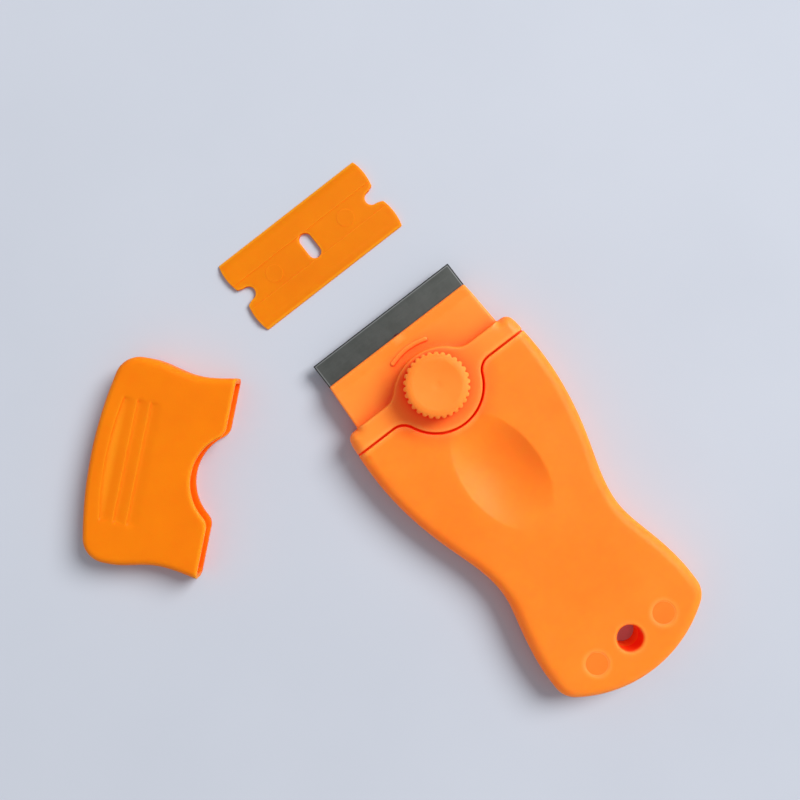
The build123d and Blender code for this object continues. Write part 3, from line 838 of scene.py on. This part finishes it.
def blade_loops(size, corner, end_bow, reach):
    """Outline of a blade about its own centre, with its slot."""
    half_x, half_y = size[0] / 2, size[1] / 2
    mouth = NOTCH["mouth"]
    inner = NOTCH["radius"]
    centre = half_x - NOTCH["inset"]
    lobe = [(half_x - end_bow, mouth + 0.3), (half_x, mouth + 2.2), (half_x - end_bow, half_y - corner)]
    lobe_run = smooth_run(lobe, (end_bow + 0.01, 1.5), (-end_bow - 0.01, 1.5))
    top_corner = arc_run((half_x - end_bow - corner, half_y - corner), corner, 0, 90, step=0.15)
    flare = smooth_run([(centre, inner), (half_x - end_bow - 0.3, mouth)], (1, 0), (1, 0.25), 0.3)
    notch = join_runs(arc_run((centre, 0), inner, 180, 90, step=0.3), flare)
    quarter = join_runs(notch, lobe_run, top_corner,
                        straight_run(top_corner[-1], (0, half_y), 1.0))
    upper = join_runs(quarter, across(quarter))
    lower = upper[::-1] * (1, -1)
    outer = join_runs(upper, lower)
    slot = slot_loop((0, 0), BLADE_SLOT, reach)
    return [outer, slot]


def settle(piece, turn_deg, low, high):
    """Turns a piece made about its own origin and moves it over its model part's box."""
    points = np.array([v.co for v in piece.data.vertices])
    c, s = math.cos(math.radians(turn_deg)), math.sin(math.radians(turn_deg))
    points[:, :2] = points[:, :2] @ np.array([[c, s], [-s, c]])
    middle = (np.array(low) + high) / 2 * MM
    points[:, :2] += middle[:2] - (points[:, :2].min(0) + points[:, :2].max(0)) / 2
    piece.data.vertices.foreach_set("co", points.ravel())
    piece.data.update()


def make_steel_blade(material):
    """Steel blade, ground from both faces along both edges."""
    loops = blade_loops(STEEL_SIZE, 0.12, 0.0, STEEL_SLOT_REACH)
    thick = BLADE_TOP - SEAT_Z
    half_y = STEEL_SIZE[1] / 2

    def bevel(xy):
        into = np.clip((np.abs(xy[:, 1]) - half_y + GROUND_WIDTH) / GROUND_WIDTH, 0, 1)
        return thick * GROUND_SHARE * into

    guides = [cross_guide(y) for y in (-half_y + GROUND_WIDTH, half_y - GROUND_WIDTH)]
    piece = plate("steel_blade_ground", loops, lambda xy: BLADE_TOP - bevel(xy),
                  lambda xy: SEAT_Z + bevel(xy), guides, guides, grid=1.6)
    settle(piece, 0, steel_low, steel_high)
    place(piece, "steel_blade", "fitted_blade", material)


SPARE_TURN = 0.35
STRIP_HALF = 3.8
STRIP_DEPTH = 0.12
STRIP_WALL = 0.06
SPARE_BEVEL = (2.0, 0.72)       # width and drop
SPARE_ROUND = 0.2
MARKS = ((-11.6, 0.0), (11.6, 0.0))
MARK_RADIUS = 2.3
MARK_HEIGHT = 0.08
MARK_WALL = 0.06


def make_spare_blade(material):
    """Plastic blade: sloped edges, a groove along its middle and two shallow marks."""
    loops = blade_loops(SPARE_SIZE, 0.45, 0.35, SPARE_SLOT_REACH)
    thick = spare_high[2] - spare_low[2]
    half_y = SPARE_SIZE[1] / 2

    def top(xy):
        out = np.abs(xy[:, 1])
        slope = np.clip((out - half_y + SPARE_BEVEL[0]) / SPARE_BEVEL[0], 0, 1)
        z = thick - SPARE_BEVEL[1] * slope ** 1.1
        z -= STRIP_DEPTH * (out < STRIP_HALF - STRIP_WALL / 2)
        for centre in MARKS:
            from_mark = off(xy, centre)
            hollow = 0.6 + 0.4 * np.clip(from_mark / MARK_RADIUS, 0, 1) ** 6
            z += MARK_HEIGHT * np.clip((MARK_RADIUS - from_mark) / MARK_WALL, 0, 1) * hollow
        rim = np.minimum(distance(xy, loops[0], closed=True), distance(xy, loops[1], closed=True))
        return z - rounded(rim, SPARE_ROUND)

    lines = (half_y - SPARE_BEVEL[0], STRIP_HALF, STRIP_HALF - STRIP_WALL)
    guides = [cross_guide(y) for line in lines for y in (-line, line)]
    for gap in steps_in(SPARE_ROUND, 3):
        guides += [(beside(loops[0], gap, True), True), (beside(loops[1], -gap, True), True)]
    for centre in MARKS:
        guides += [(circle(centre, MARK_RADIUS - gap, 48), True) for gap in (0, MARK_WALL, 0.45, 1.0)]
    piece = plate("spare_blade_moulding", loops, top, lambda xy: np.full(len(xy), spare_low[2]),
                  guides, (), grid=1.0, crease_deg=22)
    settle(piece, SPARE_TURN, spare_low, spare_high)
    place(piece, "spare_plastic_blade", "spare_blade", material)


# ---- blade cover ----

COVER_TURN = 40.9
COVER_SIDE = [(25.7, 0.0), (24.5, 11.5), (26.3, 22.0)]
COVER_LENGTH = 32.1
COVER_END_RADIUS = 106.0
COVER_CORNER = 6.3
COVER_WALL = 1.25
COVER_ROUND = 1.9
COVER_ROUND_INSIDE = 0.6
CUTOUT = dict(radius=12.9, blend=3.5)
CUTOUT_DEPTH = 6.4
LIP_ROUND = 0.3
GRIP_LENGTH = 32.0
GRIP_PITCH = 3.4
GRIP_DEPTH = 0.42
GRIP_FIRST = 26.4
GRIP_CRESCENT = 1.5
GRIP_FADE = 1.0
GRIP_STEPS = 3
GRIP_RAMP = 0.92                # of the pitch
GRIP_WALL = 0.3


def cover_side(wall):
    """Closed sides and end of the cover, from the mouth's right corner round to its left."""
    side = smooth_run([(x - wall, y) for x, y in COVER_SIDE], (-0.2, 1), (0, 1))
    return closed_end(side, COVER_LENGTH - wall, COVER_END_RADIUS - wall, COVER_CORNER - wall, 1)


def cover_mouth(half):
    """Mouth of the cover, left to right, with its round cut-out."""
    return humped_line(0.0, CUTOUT_DEPTH - CUTOUT["radius"], CUTOUT["radius"], CUTOUT["blend"], half)


def grip_depth(xy):
    """Steps across the cover's top, each steep behind and running out forward."""
    depth = np.zeros(len(xy))
    x, y = xy[:, 0], xy[:, 1]
    fade = np.clip((GRIP_LENGTH / 2 - np.abs(x)) / GRIP_FADE, 0, 1)
    for k in range(GRIP_STEPS):
        steep = GRIP_FIRST - GRIP_PITCH * k
        back = steep + (GRIP_CRESCENT * (1 - (2 * x / GRIP_LENGTH) ** 2) if k == 0 else 0)
        ramp = np.clip((y - (steep - GRIP_PITCH * GRIP_RAMP)) / (GRIP_PITCH * GRIP_RAMP), 0, 1)
        wall = np.clip((back - y) / GRIP_WALL, 0, 1)
        depth = np.maximum(depth, GRIP_DEPTH * ramp * wall)
    return depth * fade


def grip_guides():
    """Runs that sample the grip steps: both sides of each wall, and the ends."""
    guides = []
    x = np.linspace(-GRIP_LENGTH / 2, GRIP_LENGTH / 2, 50)
    for k in range(GRIP_STEPS):
        steep = GRIP_FIRST - GRIP_PITCH * k
        bow = GRIP_CRESCENT * (1 - (2 * x / GRIP_LENGTH) ** 2) if k == 0 else 0 * x
        for back in (0.0, GRIP_WALL / 2, GRIP_WALL):
            guides.append((np.column_stack([x, steep + bow - back]), False))
    last_foot = GRIP_FIRST - GRIP_PITCH * (GRIP_STEPS - 1 + GRIP_RAMP)
    guides.append((np.column_stack([x, 0 * x + last_foot]), False))
    for side in (-1, 1):
        for gap in (0.0, GRIP_FADE / 2, GRIP_FADE):
            end_x = side * (GRIP_LENGTH / 2 - gap)
            end_run = straight_run((end_x, GRIP_FIRST + GRIP_WALL),
                                   (end_x, GRIP_FIRST - GRIP_PITCH * GRIP_STEPS))
            guides.append((end_run, False))
    return guides


def cover_skin(wall, side_round, lip, ceiling, floor):
    """Upper and lower relief of the cover's outside, or of its inside, one wall further in."""
    side = cover_side(wall)
    mouth = cover_mouth(side[0][0])
    guides = edge_guides(side, side_round, 7, side=1)
    if lip:
        guides += edge_guides(mouth, lip, 3, side=1)

    def drop(xy):
        fall = rounded(distance(xy, side), side_round)
        if lip:
            fall = np.maximum(fall, rounded(distance(xy, mouth), lip))
        return fall

    def top(xy):
        return ceiling - drop(xy) - (0 if wall else grip_depth(xy))

    def bottom(xy):
        return floor + drop(xy)

    loop = join_runs(side, mouth)
    up, up_faces, (up_loop,) = relief([loop], guides + ([] if wall else grip_guides()), top, 0.9)
    down, down_faces, (down_loop,) = relief([loop], guides, bottom, 1.3)
    return up, up_faces, up_loop, down, down_faces, down_loop, len(side)


def make_cover(material):
    """Hollow cover: outer skin, inner skin and a rim that joins them round the mouth."""
    height = cover_high[2] - cover_low[2]
    skins = (cover_skin(0.0, COVER_ROUND, LIP_ROUND, height, 0.0),
             cover_skin(COVER_WALL, COVER_ROUND_INSIDE, 0.0, height - COVER_WALL, COVER_WALL))
    points, faces, rims = [], [], []
    for number, (up, up_faces, up_loop, down, down_faces, down_loop, closed_count) in enumerate(skins):
        flip = number == 1
        first = sum(len(p) for p in points)
        points += [up, down]
        second = first + len(up)
        new = [tuple(f + first) for f in up_faces] + [tuple(f[::-1] + second) for f in down_faces]
        for i in range(closed_count - 1):
            new.append((up_loop[i] + first, down_loop[i] + second,
                        down_loop[i + 1] + second, up_loop[i + 1] + first))
        faces += [f[::-1] for f in new] if flip else new
        count = len(up_loop)
        rim_up = [up_loop[i % count] + first for i in range(closed_count - 1, count + 1)]
        rim_down = [down_loop[i % count] + second for i in range(closed_count - 1, count + 1)]
        rims.append((rim_up, rim_down))
    points = np.concatenate(points)
    outer_rim, inner_rim = rims

    def bridge(one, other, flip):
        """Quads or triangles between two runs, walking along whichever lags behind."""
        a, b = points[one][:, 0], points[other][:, 0]
        i = k = 0
        while i < len(one) - 1 or k < len(other) - 1:
            if k == len(other) - 1 or (i < len(one) - 1 and a[i + 1] <= b[k + 1]):
                face = (one[i], one[i + 1], other[k])
                i += 1
            else:
                face = (one[i], other[k + 1], other[k])
                k += 1
            faces.append(face[::-1] if flip else face)

    bridge(outer_rim[0], inner_rim[0], True)
    bridge(outer_rim[1], inner_rim[1], False)
    for end in (0, -1):
        quad = (outer_rim[0][end], outer_rim[1][end], inner_rim[1][end], inner_rim[0][end])
        faces.append(quad if end == 0 else quad[::-1])
    piece = mesh_piece("cover_moulding", points, faces)
    settle(piece, COVER_TURN, cover_low, cover_high)
    place(piece, "blade_cover", "cover", material)


# ---- materials ----

def feed(tree, socket, value):
    """Sets a socket to a value, or wires it to another socket."""
    if isinstance(value, bpy.types.NodeSocket):
        tree.links.new(value, socket)
    else:
        socket.default_value = value


def add(tree, kind, **inputs):
    """A shader node with its named inputs fed."""
    node = tree.nodes.new(kind)
    for name, value in inputs.items():
        feed(tree, node.inputs[name.replace("_", " ")], value)
    return node


def new_material(name):
    """A material with its tree and its shader."""
    material = bpy.data.materials.new(name)
    material.use_nodes = True
    return material, material.node_tree, material.node_tree.nodes["Principled BSDF"]


def object_place(tree):
    return tree.nodes.new("ShaderNodeTexCoord").outputs["Object"]


def group(name, inputs, outputs):
    """An empty shader group with its sockets, and its two end nodes."""
    tree = bpy.data.node_groups.new(name, "ShaderNodeTree")
    for label, kind, value in inputs:
        socket = tree.interface.new_socket(label, in_out="INPUT", socket_type=kind)
        socket.default_value = value
    for label, kind in outputs:
        tree.interface.new_socket(label, in_out="OUTPUT", socket_type=kind)
    return tree, tree.nodes.new("NodeGroupInput"), tree.nodes.new("NodeGroupOutput")


def mix_colour(tree, share, one, other):
    node = tree.nodes.new("ShaderNodeMix")
    node.data_type = "RGBA"
    for number, value in ((0, share), (6, one), (7, other)):
        feed(tree, node.inputs[number], value)
    return node.outputs[2]


def spread(tree, value, low, high, to_low, to_high):
    """A value between two levels mapped to two others, and held there outside them."""
    node = tree.nodes.new("ShaderNodeMapRange")
    for number, given in enumerate((value, low, high, to_low, to_high)):
        feed(tree, node.inputs[number], given)
    return node.outputs[0]


def maths(tree, operation, *values):
    node = tree.nodes.new("ShaderNodeMath")
    node.operation = operation
    for socket, value in zip(node.inputs, values):
        feed(tree, socket, value)
    return node.outputs[0]


def openness(tree, reach, through=False):
    """How open the surface is within a reach: outside it, or through the plastic."""
    node = tree.nodes.new("ShaderNodeAmbientOcclusion")
    node.inside = through
    node.samples = 8
    feed(tree, node.inputs["Distance"], reach)
    return node.outputs["AO"]


# Reach of the occlusion mask for the painted red shade and painted glow in gaps and corners.
NOOK_REACH = 0.009
# Pale colours painted along thin edges: painted light standing in for light passing through the plastic.
PAINTED_EDGE_LIGHT_ORANGE = (1.0, 0.5, 0.12)
PAINTED_EDGE_LIGHT_AMBER = (1.0, 0.48, 0.02)


def moulded_skin_group():
    """Coloured moulded plastic: cloudy melt, painted pale light along thin edges, a painted red glow all
    over, painted red shade and a stronger painted glow in gaps and corners, and a fine grain."""
    tree, start, end = group("moulded skin", [
        ("Colour", "NodeSocketColor", (1, 1, 1, 1)), ("Deep", "NodeSocketColor", (1, 1, 1, 1)),
        ("Pale", "NodeSocketColor", (1, 1, 1, 1)), ("Edge", "NodeSocketFloat", 0.5),
        ("Edge Depth", "NodeSocketFloat", 0.003), ("Corner", "NodeSocketColor", (1, 0.05, 0, 1)),
        ("Glow", "NodeSocketColor", (0.2, 0.01, 0, 1)),
        ("Corner Glow", "NodeSocketColor", (0.4, 0.02, 0, 1)), ("Corner Open", "NodeSocketFloat", 0.4),
        ("Roughness", "NodeSocketFloat", 0.4)],
        [("Colour", "NodeSocketColor"), ("Roughness", "NodeSocketFloat"),
         ("Height", "NodeSocketFloat"), ("Glow", "NodeSocketColor")])
    where = object_place(tree)
    cloud = add(tree, "ShaderNodeTexNoise", Vector=where, Scale=55.0, Detail=3.0, Roughness=0.55)
    share = spread(tree, cloud.outputs["Fac"], 0.35, 0.7, 0.0, 1.0)
    colour = mix_colour(tree, share, start.outputs["Colour"], start.outputs["Deep"])
    # Painted light: the pale colour is mixed in where the plastic is thin.
    thin = openness(tree, start.outputs["Edge Depth"], through=True)
    edge = spread(tree, thin, 0.45, 1.0, start.outputs["Edge"], 0.0)
    colour = mix_colour(tree, edge, colour, start.outputs["Pale"])
    # Painted shade and glow: a deep red colour and stronger emission mixed in where the surface is hemmed
    # in.
    nook = openness(tree, NOOK_REACH)
    corner = spread(tree, nook, start.outputs["Corner Open"], 0.99, 1.0, 0.0)
    colour = mix_colour(tree, corner, colour, start.outputs["Corner"])
    glow = mix_colour(tree, corner, start.outputs["Glow"], start.outputs["Corner Glow"])
    grain = add(tree, "ShaderNodeTexNoise", Vector=where, Scale=2600.0, Detail=2.0)
    blotch = add(tree, "ShaderNodeTexNoise", Vector=where, Scale=240.0, Detail=4.0)
    rough = maths(tree, "MULTIPLY_ADD", blotch.outputs["Fac"], 0.16, start.outputs["Roughness"])
    for label, value in (("Colour", colour), ("Roughness", rough),
                         ("Height", grain.outputs["Fac"]), ("Glow", glow)):
        feed(tree, end.inputs[label], value)
    return tree


def plastic(name, colour, deep, pale=PAINTED_EDGE_LIGHT_ORANGE, roughness=0.4, edge=0.5, edge_depth=0.0014,
            glow=(0.2, 0.006, 0.0), corner_glow=(0.17, 0.002, 0.0), corner=(0.8, 0.05, 0.001),
            corner_open=0.4, sheen=0.3, grain=0.04, soft=0.35, soft_reach=0.0016):
    """Slightly translucent moulded plastic with painted pale edges, painted glow and painted corner
    shade.
    """
    material, tree, shader = new_material(name)
    skin = tree.nodes.new("ShaderNodeGroup")
    skin.node_tree = SKIN
    for label, value in (("Colour", colour), ("Deep", deep), ("Pale", pale), ("Corner", corner),
                         ("Glow", glow), ("Corner Glow", corner_glow)):
        skin.inputs[label].default_value = (*value, 1)
    for label, value in (("Edge", edge), ("Edge Depth", edge_depth), ("Corner Open", corner_open),
                         ("Roughness", roughness)):
        skin.inputs[label].default_value = value
    bump = add(tree, "ShaderNodeBump", Strength=grain, Distance=0.0001, Height=skin.outputs["Height"])
    tree.links.new(skin.outputs["Colour"], shader.inputs["Base Color"])
    tree.links.new(skin.outputs["Roughness"], shader.inputs["Roughness"])
    # Painted glow: red emission standing in for light scattered inside the plastic, lifting its shade
    # towards red.
    tree.links.new(skin.outputs["Glow"], shader.inputs["Emission Color"])
    tree.links.new(bump.outputs["Normal"], shader.inputs["Normal"])
    shader.inputs["Emission Strength"].default_value = 1.0
    shader.inputs["Subsurface Weight"].default_value = soft
    shader.inputs["Subsurface Radius"].default_value = (1.0, 0.28, 0.06)
    shader.inputs["Subsurface Scale"].default_value = soft_reach
    shader.inputs["Specular IOR Level"].default_value = sheen
    return material


# Painted dark reflection at the blade's rim and a painted highlight line just inside it.
PAINTED_DARK_RIM_ENDS = (0.00028, 0.00036)   # metres in from the blade's rim
PAINTED_HIGHLIGHT_ENDS = (0.00048, 0.00062)


def blade_steel():
    """Dark ground steel: fine lengthwise scratches, faint stains, a painted highlight line
    along each bevel and a painted dark reflection at the very rim.
    """
    material, tree, shader = new_material("dark ground steel")
    where = object_place(tree)
    stretch = add(tree, "ShaderNodeMapping", Vector=where, Scale=(60.0, 2000.0, 400.0))
    scratch = add(tree, "ShaderNodeTexNoise", Vector=stretch.outputs["Vector"], Scale=1.0, Detail=3.0)
    stain = add(tree, "ShaderNodeTexNoise", Vector=where, Scale=160.0, Detail=5.0, Roughness=0.65)
    base = mix_colour(tree, spread(tree, stain.outputs["Fac"], 0.35, 0.7, 0.0, 1.0),
                      (0.115, 0.122, 0.115, 1), (0.07, 0.076, 0.07, 1))
    base = mix_colour(tree, spread(tree, scratch.outputs["Fac"], 0.5, 0.8, 0.0, 0.25),
                      base, (0.15, 0.155, 0.15, 1))
    axes = add(tree, "ShaderNodeSeparateXYZ", Vector=where)
    middle = (steel_low + steel_high) / 2 * MM
    half = (steel_high - steel_low) / 2 * MM
    gaps = []
    for axis in (0, 1):
        beside_middle = maths(tree, "SUBTRACT", axes.outputs[axis], middle[axis])
        from_middle = maths(tree, "ABSOLUTE", beside_middle)
        gaps.append(maths(tree, "SUBTRACT", half[axis], from_middle))
    rim = maths(tree, "MINIMUM", *gaps)
    # Painted highlight line and painted dark reflection round the rim.
    outer = spread(tree, rim, *PAINTED_DARK_RIM_ENDS, 1.0, 0.0)
    line = spread(tree, rim, *PAINTED_HIGHLIGHT_ENDS, 0.75, 0.0)
    base = mix_colour(tree, line, base, (0.33, 0.34, 0.34, 1))
    base = mix_colour(tree, outer, base, (0.05, 0.053, 0.053, 1))
    bump = add(tree, "ShaderNodeBump", Strength=0.08, Distance=0.00005, Height=scratch.outputs["Fac"])
    tree.links.new(base, shader.inputs["Base Color"])
    tree.links.new(spread(tree, stain.outputs["Fac"], 0.3, 0.7, 0.42, 0.6), shader.inputs["Roughness"])
    tree.links.new(bump.outputs["Normal"], shader.inputs["Normal"])
    shader.inputs["Metallic"].default_value = 0.7
    return material


def screw_steel():
    """Zinc-plated steel for the screw, nut and washer inside."""
    material, tree, shader = new_material("zinc plated steel")
    spots = add(tree, "ShaderNodeTexNoise", Vector=object_place(tree), Scale=700.0, Detail=4.0)
    colour = mix_colour(tree, spots.outputs["Fac"], (0.62, 0.63, 0.66, 1), (0.45, 0.46, 0.48, 1))
    tree.links.new(colour, shader.inputs["Base Color"])
    tree.links.new(spread(tree, spots.outputs["Fac"], 0.3, 0.7, 0.25, 0.45), shader.inputs["Roughness"])
    shader.inputs["Metallic"].default_value = 1.0
    return material


# ---- table, light and camera ----

CAMERA_SPOT = (-9.2, SCREW_Y + 2.6)
CAMERA_HEIGHT = 214.0
CAMERA_TURN = -37.6
CAMERA_LENS = 37.26
WINDOW_SPOT = (1.45, 1.05, 1.65)    # metres to the camera's right, to its top, above the table
WINDOW_SIZE = 1.4
WINDOW_POWER = 64.0
ROOM_LIGHT = 0.4
FLOOR_HALF = 3.0


def make_floor():
    mesh = bpy.data.meshes.new("table_top")
    corners = [(FLOOR_HALF * x, FLOOR_HALF * y, 0) for x, y in ((-1, -1), (1, -1), (1, 1), (-1, 1))]
    mesh.from_pydata(corners, [], [(0, 1, 2, 3)])
    table_top = in_scene("table_top", mesh)
    material, tree, shader = new_material("pale table")
    cloud = add(tree, "ShaderNodeTexNoise", Vector=object_place(tree), Scale=14.0, Detail=4.0)
    share = spread(tree, cloud.outputs["Fac"], 0.3, 0.7, 0.0, 1.0)
    colour = mix_colour(tree, share, (0.60, 0.635, 0.715, 1), (0.575, 0.61, 0.69, 1))
    tree.links.new(colour, shader.inputs["Base Color"])
    shader.inputs["Roughness"].default_value = 0.8
    shader.inputs["Specular IOR Level"].default_value = 0.1
    mesh.materials.append(material)


def soft_lamp(name, place_at, aim, size, power, colour):
    lamp = bpy.data.lights.new(name, "AREA")
    lamp.shape = "DISK"
    lamp.size = size
    lamp.energy = power
    lamp.color = colour
    holder = in_scene(name, lamp)
    way = aim - place_at
    way = way / np.linalg.norm(way)
    holder.location = place_at
    holder.rotation_euler = (math.acos(-way[2]), 0, math.atan2(way[1], way[0]) - math.pi / 2)


def make_light_and_camera():
    scene = bpy.context.scene
    world = bpy.data.worlds.new("soft room")
    world.use_nodes = True
    sky = world.node_tree.nodes["Background"]
    sky.inputs["Color"].default_value = (0.93, 0.96, 1.0, 1)
    sky.inputs["Strength"].default_value = ROOM_LIGHT
    scene.world = world
    turn = math.radians(CAMERA_TURN)
    right = np.array([math.cos(turn), math.sin(turn), 0])
    up = np.array([-math.sin(turn), math.cos(turn), 0])
    centre = np.array([CAMERA_SPOT[0], CAMERA_SPOT[1], 0]) * MM
    window = centre + WINDOW_SPOT[0] * right + WINDOW_SPOT[1] * up + np.array([0, 0, WINDOW_SPOT[2]])
    soft_lamp("window", window, centre, WINDOW_SIZE, WINDOW_POWER, (1.0, 0.985, 0.965))
    camera = bpy.data.cameras.new("overhead")
    camera.sensor_width = 36.0
    camera.lens = CAMERA_LENS
    camera.clip_start = 0.01
    camera.dof.use_dof = False
    holder = in_scene("overhead", camera)
    holder.location = (centre[0], centre[1], CAMERA_HEIGHT * MM)
    holder.rotation_euler = (0, 0, turn)
    scene.camera = holder
    scene.view_settings.view_transform = "Standard"


# ---- everything together ----

SKIN = moulded_skin_group()
# The glow, corner, corner glow and pale edge settings below are painted light and shade; the lower
# shell's copy has its own milder painted corner shade for its sides by the table, and the pins' copy has
# no painted pale edges.
handle_look = dict(colour=(0.91, 0.29, 0.018), deep=(0.89, 0.255, 0.012), roughness=0.46, edge=0.8,
                   edge_depth=0.0015, glow=(0.2, 0.004, 0.0), sheen=0.24, soft=0.9, soft_reach=0.0026)
handle_plastic = plastic("handle plastic", **handle_look, corner_glow=(0.12, 0.001, 0.0),
                         corner=(0.86, 0.035, 0.001), corner_open=0.62)
lower_plastic = plastic("lower shell plastic", **handle_look, corner_glow=(0.15, 0.003, 0.0),
                        corner=(0.88, 0.14, 0.006), corner_open=0.5)
pin_plastic = plastic("joining pin plastic", (0.98, 0.235, 0.018), (0.96, 0.205, 0.012),
                      roughness=0.46, edge=0.0, sheen=0.24)
clamp_plastic = plastic("clamp plastic", (0.93, 0.3, 0.03), (0.91, 0.26, 0.02))
knob_plastic = plastic("knob plastic", (0.9, 0.29, 0.03), (0.86, 0.25, 0.02), roughness=0.55,
                       edge_depth=0.0009, corner_glow=(0.14, 0.004, 0.0), corner=(0.95, 0.1, 0.004),
                       grain=0.12)
amber_look = dict(pale=PAINTED_EDGE_LIGHT_AMBER, edge=0.6, glow=(0.06, 0.002, 0.0), sheen=0.14)
cover_plastic = plastic("cover plastic", (0.88, 0.235, 0.0), (0.84, 0.205, 0.0), **amber_look,
                        edge_depth=0.001, corner_glow=(0.14, 0.004, 0.0), corner=(0.9, 0.09, 0.0))
spare_plastic = plastic("spare blade plastic", (0.83, 0.235, 0.0), (0.78, 0.205, 0.0), **amber_look,
                        edge_depth=0.0008, corner_glow=(0.1, 0.004, 0.0), corner=(0.86, 0.12, 0.0))
steel = blade_steel()
zinc = screw_steel()

make_upper_shell(handle_plastic)
make_lower_shell(lower_plastic)
make_joining_pins(pin_plastic)
make_clamp_plate(clamp_plastic)
make_knob(knob_plastic)
make_steel_blade(steel)
make_spare_blade(spare_plastic)
make_cover(cover_plastic)
make_screw_parts(zinc)

make_floor()
make_light_and_camera()
